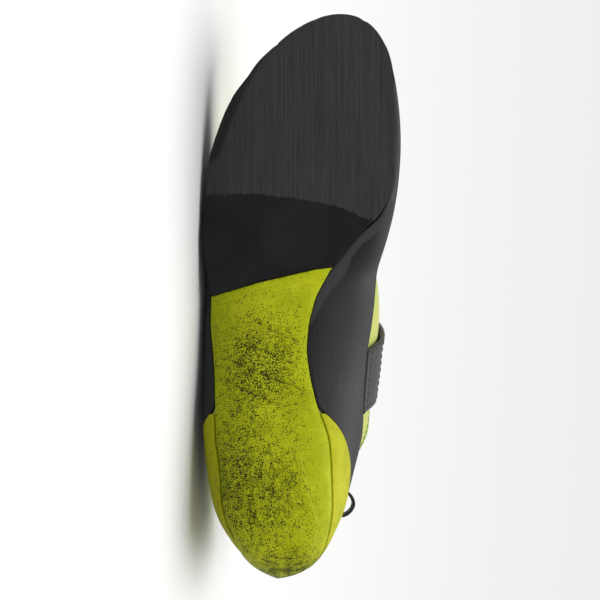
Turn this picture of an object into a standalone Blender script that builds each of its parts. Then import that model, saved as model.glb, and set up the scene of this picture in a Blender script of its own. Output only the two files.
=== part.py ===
"""Right climbing shoe with a hook-and-loop strap, lying on its little-toe side.

Design frame, before the shoe is laid down: +X to the little toe, +Y to the toe, +Z up from the sole,
the heel end of the last at Y = 0 and the ground plane of the sole at Z = 0. Lengths are in millimetres.
"""
import math

import bpy
import bmesh
import numpy as np
from mathutils import Matrix, Vector

MM = 0.001

# Sizes of the last, the form inside the upper
LAST_LENGTH = 250.5
BALL_WIDTH = 80.0
INSTEP_HEIGHT = 80.0

# Walls, from the last outwards
UPPER_WALL = 1.8
RAND_WALL = 2.0
CUP_WALL = 2.5
OUTSOLE_THICK = 4.0
ARCH_SOLE_THICK = 3.2
INSOLE_THICK = 2.0
TONGUE_THICK = 2.8
STRAP_THICK = 2.0
BINDING_WALL = 2.6
LOOP_WALL = 1.4

# Clearances
GAP = 0.35
TONGUE_GAP = 0.8
STRAP_GAP = 0.8

# Widths and places of the trimmings
BINDING_WIDTH = 3.0
STRAP_WIDTH = 30.0
LOOP_LENGTH = 14.0
LOOP_REACH = 7.2
LOOP_WEB = 7.0
LOOP_UNDER_RIM = 1.0
SOLE_FLARE = 1.3
TREAD_HEIGHT = 0.9
TREAD_FOOT = 3.4
TREAD_CROWN = 1.6

# One row per section, heel to toe. "along" is a share of the length in percent, "turn" swings the section
# about the heel or toe centre in degrees, the others are percent of the ball width; "flat" is percent of
# the reach on that side.
PLAN_COLUMNS = ("along", "turn", "centre", "lat", "med", "flat_lat", "flat_med")
PLAN = (
    ("heel_back", 11.7, -90, 14.4, 36.6, 36.6, 45, 45),
    ("heel_60", 11.7, -60, 14.4, 31.1, 34.1, 50, 48),
    ("heel_30", 11.7, -30, 14.4, 28.5, 29.4, 56, 50),
    ("heel_side", 11.7, 0, 14.4, 32.0, 31.8, 60, 50),
    ("seat", 18.1, 0, 15.6, 34.6, 38.0, 62, 45),
    ("seat_end", 24.5, 0, 18.1, 34.1, 45.0, 66, 42),
    ("waist_a", 30.1, 0, 20.0, 34.3, 49.4, 68, 42),
    ("waist_b", 35.2, 0, 21.3, 31.8, 53.8, 70, 40),
    ("waist_c", 40.4, 0, 21.3, 31.8, 56.3, 72, 38),
    ("waist_d", 45.5, 0, 20.6, 32.5, 58.1, 72, 38),
    ("waist_e", 50.5, 0, 19.4, 32.0, 57.5, 72, 38),
    ("waist_f", 55.7, 0, 15.0, 36.9, 51.9, 74, 45),
    ("ball_a", 60.8, 0, 7.5, 44.1, 50.4, 78, 60),
    ("ball_b", 65.8, 0, 3.8, 47.1, 51.3, 80, 75),
    ("ball_c", 70.9, 0, 0.0, 49.6, 50.1, 82, 82),
    ("ball_d", 76.1, 0, -3.1, 50.4, 48.5, 82, 82),
    ("toes_a", 81.2, 0, -6.9, 49.0, 44.8, 82, 82),
    ("toes_b", 86.2, 0, -12.5, 47.8, 37.9, 82, 82),
    ("toe_side", 90.3, 0, -17.5, 43.0, 30.9, 80, 80),
    ("toe_15", 90.3, 15, -17.5, 36.4, 30.4, 80, 80),
    ("toe_30", 90.3, 30, -17.5, 30.9, 31.0, 80, 80),
    ("toe_60", 90.3, 60, -17.5, 28.0, 33.0, 80, 80),
    ("toe_tip", 90.3, 90, -17.5, 30.3, 30.3, 80, 80),
)

# Heights are percent of the instep height, "ridge_x" is percent of the ball width towards the little toe,
# "low" and "up" are the powers of the curves under and over the widest line.
HEIGHT_COLUMNS = (
    "floor", "wide_lat", "wide_med", "ridge", "ridge_x",
    "low_lat", "low_med", "up_lat", "up_med",
)
HEIGHTS = (
    ("heel_back", 8.1, 35.0, 35.0, 125.0, 0.0, 2.2, 2.2, 2.4, 2.4),
    ("heel_60", 8.1, 34.0, 35.0, 125.0, 0.0, 2.2, 2.2, 2.4, 2.4),
    ("heel_30", 8.1, 32.0, 34.5, 125.0, 0.0, 2.3, 2.2, 2.4, 2.4),
    ("heel_side", 8.1, 31.0, 36.0, 125.0, 0.0, 2.4, 2.2, 2.4, 2.4),
    ("seat", 9.0, 31.5, 42.5, 125.0, -1.3, 2.6, 2.0, 2.4, 2.4),
    ("seat_end", 11.3, 32.5, 54.0, 125.0, -5.0, 3.0, 1.9, 2.4, 2.4),
    ("waist_a", 14.4, 34.0, 61.0, 125.0, -10.0, 3.2, 1.8, 2.3, 2.3),
    ("waist_b", 16.9, 35.0, 62.0, 121.0, -13.8, 3.4, 1.7, 2.2, 2.2),
    ("waist_c", 18.8, 35.6, 60.0, 114.0, -16.3, 3.5, 1.7, 2.1, 2.1),
    ("waist_d", 18.8, 35.0, 56.0, 105.0, -17.0, 3.5, 1.7, 2.0, 2.0),
    ("waist_e", 17.5, 32.5, 51.0, 95.0, -16.8, 3.5, 1.7, 2.0, 2.0),
    ("waist_f", 15.0, 28.8, 42.5, 84.4, -13.8, 3.6, 1.9, 2.0, 2.0),
    ("ball_a", 12.5, 25.0, 31.0, 73.8, -9.4, 3.6, 2.4, 2.0, 2.0),
    ("ball_b", 10.8, 22.5, 23.5, 63.8, -7.5, 3.6, 3.2, 2.0, 2.0),
    ("ball_c", 9.5, 20.0, 19.4, 55.6, -7.5, 3.6, 3.6, 2.0, 2.0),
    ("ball_d", 8.8, 18.0, 17.5, 48.8, -6.3, 3.6, 3.6, 2.1, 2.1),
    ("toes_a", 8.1, 17.0, 16.3, 43.8, -4.4, 3.6, 3.6, 2.2, 2.2),
    ("toes_b", 7.9, 15.8, 15.6, 39.4, -1.9, 3.6, 3.6, 2.3, 2.3),
    ("toe_side", 7.9, 15.0, 15.0, 35.5, 0.0, 3.6, 3.6, 2.4, 2.4),
    ("toe_15", 7.9, 15.0, 15.0, 35.5, 0.0, 3.6, 3.6, 2.4, 2.4),
    ("toe_30", 7.9, 15.0, 15.0, 35.5, 0.0, 3.6, 3.6, 2.4, 2.4),
    ("toe_60", 7.9, 15.0, 15.0, 35.5, 0.0, 3.6, 3.6, 2.4, 2.4),
    ("toe_tip", 7.9, 15.0, 15.0, 35.5, 0.0, 3.6, 3.6, 2.4, 2.4),
)

# Edges of the pieces. "sole" is the reach of the sole edge in percent of the section's reach, past 100 it
# climbs above the widest line; the others are percent of the instep height. "open" is how far the collar or
# throat edge lies under the ridge, "crisp" is 1 where the sole is ground to a square edge, "full_med" is how
# far the foot swells the upper over the big-toe side of the rand, in percent of the ball width.
EDGE_COLUMNS = (
    "sole_lat", "sole_med", "cup_lat", "cup_med",
    "rand_lat", "rand_med", "open", "crisp_lat", "crisp_med", "full_med",
)
EDGES = (
    ("heel_back", 110, 110, 60, 60, 81, 81, 21.3, 0, 0, 0),
    ("heel_60", 103, 103, 60, 60, 80, 80, 23.8, 0, 0, 0),
    ("heel_30", 87, 96, 57, 57, 76, 77, 31.3, 0, 0, 0),
    ("heel_side", 83.5, 87, 51, 51, 67, 70, 38.8, 0, 0, 0),
    ("seat", 80, 76.6, 37, 33, 57, 62, 45.0, 0, 0, 1.5),
    ("seat_end", 83, 67.8, 24, 25, 50, 56, 47.5, 0, 0, 6.5),
    ("waist_a", 81, 54.4, 12, 15, 45, 51, 42.5, 0, 0, 4.5),
    ("waist_b", 84, 46.5, 0, 0, 42.5, 48, 27.5, 0, 0, 3.6),
    ("waist_c", 87, 41.3, 0, 0, 40, 45.5, 9.5, 0, 0, 3.0),
    ("waist_d", 90, 41.3, 0, 0, 37.5, 44, 3.8, 0, 0, 3.3),
    ("waist_e", 92, 45.7, 0, 0, 36, 42.5, 2.2, 0.3, 0, 3.4),
    ("waist_f", 95, 58.3, 0, 0, 35, 41, 1.0, 0.7, 0, 4.4),
    ("ball_a", 97.5, 71.5, 0, 0, 34, 38, 0, 1, 0, 0),
    ("ball_b", 98, 92, 0, 0, 33, 35, 0, 1, 0.6, 0),
    ("ball_c", 98, 98, 0, 0, 32, 32.5, 0, 1, 1, 0),
    ("ball_d", 98, 98, 0, 0, 31, 31, 0, 1, 1, 0),
    ("toes_a", 98, 98, 0, 0, 30, 30, 0, 1, 1, 0),
    ("toes_b", 98, 98, 0, 0, 29, 29, 0, 1, 1, 0),
    ("toe_side", 98, 98, 0, 0, 28, 28, 0, 1, 1, 0),
    ("toe_15", 98, 98, 0, 0, 28, 28, 0, 1, 1, 0),
    ("toe_30", 98, 98, 0, 0, 28, 28, 0, 1, 1, 0),
    ("toe_60", 98, 98, 0, 0, 28, 28, 0, 1, 1, 0),
    ("toe_tip", 98, 98, 0, 0, 28, 28, 0, 1, 1, 0),
)

# Joint between the black forefoot sole and the arch sole, little-toe side first:
# percent of the ball width across, percent of the length along
SOLE_JOINT = (
    (75.0, 49.4), (51.3, 50.5), (37.6, 51.8), (26.3, 52.9), (11.4, 54.0),
    (2.3, 54.7), (-8.5, 55.4), (-18.3, 55.8), (-40.0, 56.2),
)

# Raised ribs under the heel, little-toe side first: where each starts towards the arch and where it ends
# towards the heel, percent of the ball width across and percent of the length along
TREAD_COLUMNS = ("front_x", "front_y", "back_x", "back_y")
TREAD = (
    (34.9, 21.2, 27.5, 6.6),
    (29.5, 22.9, 20.4, 5.4),
    (23.8, 24.4, 13.5, 4.8),
    (17.0, 25.1, 6.1, 4.8),
    (10.1, 25.8, -0.4, 5.6),
    (3.3, 24.9, -6.4, 7.6),
)

# Strap path over the instep: place between the ridge at 0 and the rand, at -1 on the big-toe side and 1 on
# the little-toe side, then percent of the length along
STRAP_PATH = (
    (-1.0, 34.6), (-0.66, 38.6), (-0.33, 42.2), (0.0, 45.0),
    (0.3, 46.8), (0.55, 48.0), (0.8, 49.0),
)


# Shares and rib places along the ring
UPPER_TURN_IN = 0.62
INSOLE_SHARE = 0.9
HEEL_SIDE_RIB = 3
CUP_END = 6.6
BINDING_END = 11
CUP_FRONT = (4, 5, 6)
LOOP_ALONG = 0.117
FULL_RISE = 0.15

# Section functions
def ring_table():
    """Every rib of the last in order round the outline: heel, little-toe side, toe, big-toe side."""
    sides = []
    for side in ("lat", "med"):
        rows = []
        for plan_row, height_row, edge_row in zip(PLAN, HEIGHTS, EDGES):
            plan = dict(zip(PLAN_COLUMNS, plan_row[1:]))
            height = dict(zip(HEIGHT_COLUMNS, height_row[1:]))
            edge = dict(zip(EDGE_COLUMNS, edge_row[1:]))
            across = BALL_WIDTH / 100
            up = INSTEP_HEIGHT / 100
            lateral = side == "lat"
            reach = plan[side] * across
            rows.append({
                "x": plan["centre"] * across,
                "y": plan["along"] * LAST_LENGTH / 100,
                "angle": plan["turn"] if lateral else 180 - plan["turn"],
                "reach": reach,
                "flat": reach * plan["flat_" + side] / 100,
                "floor": height["floor"] * up,
                "wide": height["wide_" + side] * up,
                "ridge": height["ridge"] * up,
                "top_r": height["ridge_x"] * across * (1 if lateral else -1),
                "low": height["low_" + side],
                "up": height["up_" + side],
                "sole": edge["sole_" + side] / 100,
                "cup": edge["cup_" + side] * up,
                "rand": edge["rand_" + side] * up,
                "open": edge["open"] * up,
                "crisp": edge["crisp_" + side],
                "full": 0 if lateral else edge["full_med"] * across,
            })
        sides.append(rows)
    return sides[0] + sides[1][-2:0:-1]


RING = ring_table()
RIBS = len(RING)
COLUMNS = tuple(RING[0])
VALUES = np.array([[row[name] for name in COLUMNS] for row in RING])
TOE_RIB = RIBS // 2
LINEAR = {"angle", "cup", "rand", "open", "crisp", "sole"}


def rib(s):
    """The values of the rib at place s round the ring, 0 to RIBS."""
    s = s % RIBS
    i = int(math.floor(s))
    f = s - i
    rows = []
    for k in (i - 1, i, i + 1, i + 2):
        row = VALUES[k % RIBS].copy()
        row[COLUMNS.index("angle")] += 360 * (k // RIBS)
        rows.append(row)
    a, b, c, d = rows
    smooth = b + 0.5 * f * (c - a + f * (2 * a - 5 * b + 4 * c - d + f * (3 * (b - c) + d - a)))
    straight = b + f * (c - b)
    level = np.abs(c - b) < 1e-9
    values = {}
    for n, name in enumerate(COLUMNS):
        values[name] = float((straight if name in LINEAR or level[n] else smooth)[n])
    return values


CURVES = {}


def curve(s):
    """The rib's outline in its own plane: reach and height at 61 points, and the share of its length."""
    key = round(s % RIBS, 6)
    if key in CURVES:
        return CURVES[key]
    v = rib(key)
    flat = np.linspace(0, 1, 13)[:-1]
    turn = np.linspace(0, math.pi / 2, 25)
    low_r = v["flat"] + (v["reach"] - v["flat"]) * np.sin(turn) ** (2 / v["low"])
    low_z = v["wide"] - (v["wide"] - v["floor"]) * np.cos(turn) ** (2 / v["low"])
    up_r = v["top_r"] + (v["reach"] - v["top_r"]) * np.cos(turn) ** (2 / v["up"])
    up_z = v["wide"] + (v["ridge"] - v["wide"]) * np.sin(turn) ** (2 / v["up"])
    r = np.concatenate([flat * v["flat"], low_r, up_r[1:]])
    z = np.concatenate([flat * 0 + v["floor"], low_z, up_z[1:]])
    slope = np.unwrap(np.arctan2(np.diff(z), np.diff(r)))
    rise = np.clip((z - v["rand"]) / (FULL_RISE * INSTEP_HEIGHT) - 0.08, 0, 1)
    fade = 1 - np.clip((z - v["wide"]) / (v["ridge"] - v["wide"]), 0, 1) ** 2
    r = r + v["full"] * rise ** 2 * (3 - 2 * rise) * fade
    step = np.hypot(np.diff(r), np.diff(z))
    length = np.concatenate([[0], np.cumsum(step)])
    spread = np.concatenate([r[:37], r[36] + length[37:] - length[36]])
    turning = np.abs(np.diff(slope, append=slope[-1])) / math.pi
    bend = np.concatenate([[0], np.cumsum(turning + step / length[-1])])
    CURVES[key] = {
        "v": v,
        "r": r,
        "z": z,
        "length": length[-1],
        "t": length / length[-1],
        "spread": spread,
        "bend": bend,
    }
    return CURVES[key]


def between(s, low, high, steps):
    """Places up the rib from one edge to the other, closer where the rib bends more."""
    c = curve(s)
    first, last = np.interp((low, high), c["t"], c["bend"])
    places = np.interp(np.linspace(first, last, steps + 1), c["bend"], c["t"])
    return [low] + [float(t) for t in places[1:-1]] + [high]


def at_spread(s, spread):
    """Where on the rib its reach, then its way past the widest line, comes to this many millimetres."""
    c = curve(s)
    return float(np.interp(spread, c["spread"], c["t"]))


def at_height(s, height):
    c = curve(s)
    return float(np.interp(height, c["z"][12:], c["t"][12:]))


def along_rib(s, t, way):
    """The place this many millimetres further up the rib."""
    return t + way / curve(s)["length"]


def on_last(s, t):
    c = curve(s)
    v = c["v"]
    r = np.interp(t, c["t"], c["r"])
    z = np.interp(t, c["t"], c["z"])
    angle = math.radians(v["angle"])
    return np.array([v["x"] + r * math.cos(angle), v["y"] + r * math.sin(angle), z])


NORMAL_S = RIBS * 4
NORMAL_T = 48


def normal_grid():
    """Outward normals of the whole last, shared wherever points of two ribs coincide."""
    points = np.array([
        [on_last(i / 4, j / NORMAL_T) for j in range(NORMAL_T + 1)]
        for i in range(NORMAL_S)
    ])
    keys = np.round(points.reshape(-1, 3), 4)
    _, index = np.unique(keys, axis=0, return_inverse=True)
    index = index.reshape(NORMAL_S, NORMAL_T + 1)
    total = np.zeros((index.max() + 1, 3))
    for i in range(NORMAL_S):
        n = (i + 1) % NORMAL_S
        corner = points[i, :-1]
        across = points[n, 1:] - corner
        other = points[i, 1:] - points[n, :-1]
        face = np.cross(across, other)
        for ids in (index[i, :-1], index[i, 1:], index[n, :-1], index[n, 1:]):
            np.add.at(total, ids, face)
    total /= np.linalg.norm(total, axis=1)[:, None]
    grid = total[index]
    outwards = points[0, NORMAL_T // 3] - points.reshape(-1, 3).mean(axis=0)
    if np.dot(grid[0, NORMAL_T // 3], outwards) < 0:
        grid = -grid
    return grid


NORMALS = normal_grid()


def normal(s, t):
    a = (s % RIBS) * 4
    b = min(max(t, 0.0), 1.0) * NORMAL_T
    i = int(a)
    j = min(int(b), NORMAL_T - 1)
    fa = a - i
    fb = b - j
    n = (i + 1) % NORMAL_S
    i = i % NORMAL_S
    mix = (NORMALS[i, j] * (1 - fa) + NORMALS[n, j] * fa) * (1 - fb)
    mix = mix + (NORMALS[i, j + 1] * (1 - fa) + NORMALS[n, j + 1] * fa) * fb
    return mix / np.linalg.norm(mix)


def point(s, t, out):
    """The point at this place of the last, moved outwards by so many millimetres."""
    return on_last(s, t) + normal(s, t) * out


# Places of the edges
def sole_edge(s):
    c = curve(s)
    return at_spread(s, c["v"]["sole"] * c["v"]["reach"])


def cup_edge(s):
    return at_height(s, curve(s)["v"]["cup"])


def rand_edge(s):
    return at_height(s, curve(s)["v"]["rand"])


def rim_edge(s):
    v = curve(s)["v"]
    if v["open"] < 0.2:
        return 1.0
    return at_height(s, v["ridge"] - v["open"])


def side_rib(along, side):
    """The rib whose plane crosses the shoe this far along, on the little-toe or big-toe side."""
    first = HEEL_SIDE_RIB
    last = TOE_RIB - 4
    places = VALUES[first:last + 1, COLUMNS.index("y")]
    s = float(np.interp(along, places, np.arange(first, last + 1)))
    return s if side == "lat" else RIBS - s


# Mesh functions
def new_object(name, bm, colour, roughness):
    bmesh.ops.remove_doubles(bm, verts=bm.verts, dist=1e-7)
    bmesh.ops.recalc_face_normals(bm, faces=bm.faces)
    mesh = bpy.data.meshes.new(name)
    bm.to_mesh(mesh)
    bm.free()
    mesh.shade_smooth()
    mesh.set_sharp_from_angle(angle=math.radians(40))
    obj = bpy.data.objects.new(name, mesh)
    bpy.context.scene.collection.objects.link(obj)
    if colour:
        material = bpy.data.materials.new(name + "_material")
        material.use_nodes = True
        shader = material.node_tree.nodes["Principled BSDF"]
        shader.inputs["Base Color"].default_value = (*[(c / 255) ** 2.2 for c in colour], 1)
        shader.inputs["Roughness"].default_value = roughness
        shader.inputs["Metallic"].default_value = 0.0
        mesh.materials.append(material)
    return obj


def shell(inner, outer, closed, low_wall=True, high_wall=None):
    """A solid between two grids of points. Rows follow each other round the ring; a row runs up a rib."""
    bm = bmesh.new()
    rows = len(inner)
    steps = len(inner[0])
    grids = [[[bm.verts.new(p * MM) for p in row] for row in grid] for grid in (inner, outer)]
    count = rows if closed else rows - 1
    for i in range(count):
        n = (i + 1) % rows
        for j in range(steps - 1):
            for grid in grids:
                bm.faces.new((grid[i][j], grid[n][j], grid[n][j + 1]))
                bm.faces.new((grid[i][j], grid[n][j + 1], grid[i][j + 1]))
        walls = []
        if low_wall:
            walls.append(0)
        if high_wall is None or not (high_wall[i] and high_wall[n]):
            walls.append(steps - 1)
        for j in walls:
            bm.faces.new((grids[0][i][j], grids[0][n][j], grids[1][n][j], grids[1][i][j]))
    if not closed:
        for i in (0, rows - 1):
            for j in range(steps - 1):
                bm.faces.new((grids[0][i][j], grids[0][i][j + 1], grids[1][i][j + 1], grids[1][i][j]))
    return bm


def band(stations, low, high, inner_out, outer_out, steps, closed, welded=False):
    """A shell over the last between two edges, with its own distance from the last on either face."""
    inner = []
    outer = []
    joined = []
    for s in stations:
        a = low(s)
        b = high(s)
        joined.append(b >= 1.0)
        ts = between(s, a, b, steps)
        inner.append([point(s, t, inner_out) for t in ts])
        outer.append([point(s, t, outer_out) for t in ts])
    return shell(inner, outer, closed, high_wall=joined if welded else None)


def ring_stations(per_rib, close=()):
    """Places round the whole ring, mirrored from side to side, four to a rib on the ribs named as close."""
    half = []
    for i in range(TOE_RIB):
        count = 4 if i in close else per_rib
        half += [i + k / count for k in range(count)]
    return half + [TOE_RIB] + [RIBS - s for s in reversed(half[1:])]


# Pieces of the shoe
def make_upper():
    def low(s):
        v = curve(s)["v"]
        return at_spread(s, UPPER_TURN_IN * v["flat"])
    bm = band(ring_stations(2), low, rim_edge, 0.0, UPPER_WALL, 11, True, welded=True)
    return new_object("upper", bm, (176, 190, 40), 0.75)


def make_insole():
    def line(s, out):
        edge = at_spread(s, INSOLE_SHARE * curve(s)["v"]["flat"])
        return [point(s, t, out) for t in between(s, 0.0, edge, 4)]
    stations = ring_stations(1)
    inner = [line(s, -GAP) for s in stations]
    outer = [line(s, -GAP - INSOLE_THICK) for s in stations]
    bm = shell(inner, outer, True, low_wall=False)
    return new_object("insole", bm, (60, 60, 62), 0.9)


def sole_rows(s, thick, steps):
    """One rib of the sole: its upper face against the last and its lower face, square or rounded."""
    c = curve(s)
    v = c["v"]
    edge = sole_edge(s)
    seat = UPPER_WALL + GAP
    rim = seat + RAND_WALL
    upper = []
    lower = []
    for j, t in enumerate(between(s, 0.0, edge, steps)):
        k = j / steps
        upper.append(point(s, t, seat))
        past = (edge - t) * c["length"]
        drop = 1.2 * max(0.0, 1 - past / 4.0) ** 2
        soft = point(s, t, seat + thick - drop)
        end = point(s, edge, rim)
        middle = point(s, 0.0, seat + thick)
        angle = math.radians(v["angle"])
        way = np.array([math.cos(angle), math.sin(angle)])
        reach = float(np.dot(end[:2] - middle[:2], way)) + SOLE_FLARE
        corner = np.array([middle[0] + reach * way[0], middle[1] + reach * way[1], middle[2]])
        turn = 1 - 1 / steps
        if k <= turn + 1e-9:
            hard = middle + (corner - middle) * (k / turn)
        else:
            hard = end
        lower.append(soft + (hard - soft) * v["crisp"])
    return upper, lower


def make_sole_blank(thick, stations, steps):
    rows = [sole_rows(s, thick, steps) for s in stations]
    return shell([row[0] for row in rows], [row[1] for row in rows], True, low_wall=False)


def plan_prism(name, sign):
    """A block over all the plan on one side of the joint between the two soles."""
    line = [(x * BALL_WIDTH / 100, y * LAST_LENGTH / 100 + sign * GAP / 2) for x, y in SOLE_JOINT]
    far = LAST_LENGTH * (1.3 if sign > 0 else -0.3)
    left = line[0][0] + 1.25 * BALL_WIDTH
    right = line[-1][0] - 1.25 * BALL_WIDTH
    outline = [(left, line[0][1])] + line + [(right, line[-1][1]), (right, far), (left, far)]
    bm = bmesh.new()
    low = [bm.verts.new(Vector((x, y, -INSTEP_HEIGHT)) * MM) for x, y in outline]
    face = bm.faces.new(low)
    top = bmesh.ops.extrude_face_region(bm, geom=[face])
    verts = [v for v in top["geom"] if isinstance(v, bmesh.types.BMVert)]
    bmesh.ops.translate(bm, verts=verts, vec=(0, 0, 3 * INSTEP_HEIGHT * MM))
    return as_cutter(new_object(name, bm, None, 0))


def as_cutter(obj):
    obj.hide_render = True
    obj.display_type = "WIRE"
    return obj


def cut(obj, cutter, operation):
    modifier = obj.modifiers.new(cutter.name, "BOOLEAN")
    modifier.operation = operation
    modifier.solver = "EXACT"
    modifier.object = cutter


def make_outsole():
    bm = make_sole_blank(OUTSOLE_THICK, ring_stations(2), 7)
    obj = new_object("outsole_forefoot", bm, (50, 50, 49), 0.8)
    cut(obj, plan_prism("front_of_joint", 1), "INTERSECT")
    return obj


def under_heel(x, y, out):
    """The point of the sole under this place in plan, moved outwards by so many millimetres."""
    heel = VALUES[HEEL_SIDE_RIB]
    centre = heel[COLUMNS.index("x")]
    middle = heel[COLUMNS.index("y")]
    if y >= middle:
        s = side_rib(y, "lat")
        centre = curve(s)["v"]["x"]
        if x < centre:
            s = RIBS - s
        return point(s, at_spread(s, abs(x - centre)), out)
    angle = math.degrees(math.atan2(y - middle, x - centre))
    s = (angle + 90) / 30
    return point(s, at_spread(s, math.hypot(x - centre, y - middle)), out)


def make_tread(level):
    """Rounded ribs that follow the heel of the sole, each a solid of its own."""
    bm = bmesh.new()
    crown = 0.5 * TREAD_CROWN / TREAD_FOOT
    profile = ((-0.5, -0.2), (-crown, 1.0), (crown, 1.0), (0.5, -0.2))
    for values in TREAD:
        row = dict(zip(TREAD_COLUMNS, values))
        front = np.array([row["front_x"] * BALL_WIDTH, row["front_y"] * LAST_LENGTH]) / 100
        back = np.array([row["back_x"] * BALL_WIDTH, row["back_y"] * LAST_LENGTH]) / 100
        way = (back - front) / np.linalg.norm(back - front)
        side = np.array([-way[1], way[0]]) * TREAD_FOOT
        inner = []
        outer = []
        for i in range(7):
            middle = front + (back - front) * i / 6
            fall = 1.0 if 0 < i < 6 else -0.2
            low = []
            high = []
            for across, rise in profile:
                x, y = middle + side * across
                low.append(under_heel(x, y, level - 0.8))
                high.append(under_heel(x, y, level + TREAD_HEIGHT * min(rise, fall)))
            inner.append(low)
            outer.append(high)
        rib_mesh = shell(inner, outer, False)
        mesh = bpy.data.meshes.new("tread_rib")
        rib_mesh.to_mesh(mesh)
        rib_mesh.free()
        bm.from_mesh(mesh)
        bpy.data.meshes.remove(mesh)
    return as_cutter(new_object("tread_ribs", bm, None, 0))


def make_arch_sole():
    bm = make_sole_blank(ARCH_SOLE_THICK, ring_stations(2), 7)
    obj = new_object("sole_arch_and_heel", bm, (150, 158, 20), 0.6)
    cut(obj, plan_prism("back_of_joint", -1), "INTERSECT")
    cut(obj, make_tread(UPPER_WALL + GAP + ARCH_SOLE_THICK), "UNION")
    return obj


def make_heel_cup():
    seat = UPPER_WALL + GAP

    def low(s):
        return along_rib(s, sole_edge(s), GAP)

    def high(s):
        return cup_edge(s)
    whole = [s if s < RIBS / 2 else s - RIBS for s in ring_stations(2, CUP_FRONT)]
    whole = sorted(s for s in whole if abs(s) < CUP_END)
    stations = [s for s in whole if high(s) > along_rib(s, low(s), 1.0)]
    bm = band(stations, low, high, seat, seat + CUP_WALL, 9, False)
    return new_object("heel_cup", bm, (160, 166, 22), 0.55)


def make_rand():
    seat = UPPER_WALL + GAP

    def low(s):
        edge = along_rib(s, sole_edge(s), GAP)
        cup = along_rib(s, cup_edge(s), GAP)
        return max(edge, cup)
    bm = band(ring_stations(2, CUP_FRONT), low, rand_edge, seat, seat + RAND_WALL, 5, True)
    return new_object("rand", bm, (55, 54, 56), 0.7)


def make_tongue():
    inner = []
    outer = []
    rows = 16
    for i in range(rows + 1):
        k = i / rows
        along = LAST_LENGTH * (0.325 + (0.64 - 0.325) * k)
        half = BALL_WIDTH * (0.31 - 0.09 * k) * math.sqrt(max(0.0, 1 - 0.5 * max(0.0, 1 - k * 8) ** 2))
        line = []
        for side, sign in (("lat", 1), ("med", -1)):
            s = side_rib(along, side)
            ways = [half * j / 5 for j in range(6)]
            places = [(s, 1 - way / curve(s)["length"]) for way in ways]
            line = places[::-1] + line if sign > 0 else line + places[1:]
        inner.append([point(s, t, -TONGUE_GAP) for s, t in line])
        outer.append([point(s, t, -TONGUE_GAP - TONGUE_THICK) for s, t in line])
    bm = shell(inner, outer, False)
    return new_object("tongue", bm, (38, 38, 40), 0.95)


def strap_place(k):
    """Place between the two rand edges and way along the shoe at this share of the strap's path."""
    rows = np.array(STRAP_PATH)
    down = rows[0, 0] + (rows[-1, 0] - rows[0, 0]) * k
    return down, float(np.interp(down, rows[:, 0], rows[:, 1]))


def make_strap():
    base = UPPER_WALL + STRAP_GAP
    inner = []
    outer = []
    steps = 24
    for i in range(steps + 1):
        down, along = strap_place(i / steps)
        side = "med" if down < 0 else "lat"
        low = []
        high = []
        for j in range(5):
            y = LAST_LENGTH * along / 100 + STRAP_WIDTH * (j / 4 - 0.5)
            s = side_rib(y, side)
            foot = along_rib(s, rand_edge(s), GAP)
            t = 1 - abs(down) * (1 - foot)
            low.append(point(s, t, base))
            high.append(point(s, t, base + STRAP_THICK))
        inner.append(low)
        outer.append(high)
    bm = shell(inner, outer, False)
    return new_object("strap", bm, (43, 43, 45), 0.9)


def make_binding():
    lift = -0.4

    def low(s):
        return along_rib(s, rim_edge(s), GAP)

    def high(s):
        return along_rib(s, rim_edge(s), GAP + BINDING_WIDTH)
    whole = [s if s < RIBS / 2 else s - RIBS for s in ring_stations(2)]
    stations = sorted(s for s in whole if abs(s) <= BINDING_END)
    bm = band(stations, low, high, lift, lift + BINDING_WALL, 2, False)
    return new_object("collar_binding", bm, (120, 200, 40), 0.6)


def make_pull_loop():
    base = UPPER_WALL + GAP
    along = LAST_LENGTH * LOOP_ALONG
    inner = []
    outer = []
    steps = 12
    for i in range(steps + 1):
        k = math.pi * i / steps
        for grid, shrink in ((inner, LOOP_WALL), (outer, 0.0)):
            y = along - (LOOP_LENGTH / 2 - shrink) * math.cos(k)
            out = base + (LOOP_REACH - shrink) * math.sin(k)
            s = loop_rib(y)
            high = along_rib(s, rim_edge(s), -LOOP_UNDER_RIM)
            grid.append([point(s, along_rib(s, high, -LOOP_WEB), out), point(s, high, out)])
    bm = shell(inner, outer, False)
    return new_object("pull_loop", bm, (36, 36, 38), 0.9)


def loop_rib(y):
    """The big-toe side rib whose outline at the collar passes this far along the shoe."""
    centre = LAST_LENGTH * LOOP_ALONG
    if y >= centre:
        return side_rib(y, "med")
    reach = curve(RIBS - HEEL_SIDE_RIB)["v"]["reach"] * 0.85
    return RIBS - HEEL_SIDE_RIB + math.degrees(math.atan2(centre - y, reach)) / 30


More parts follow.
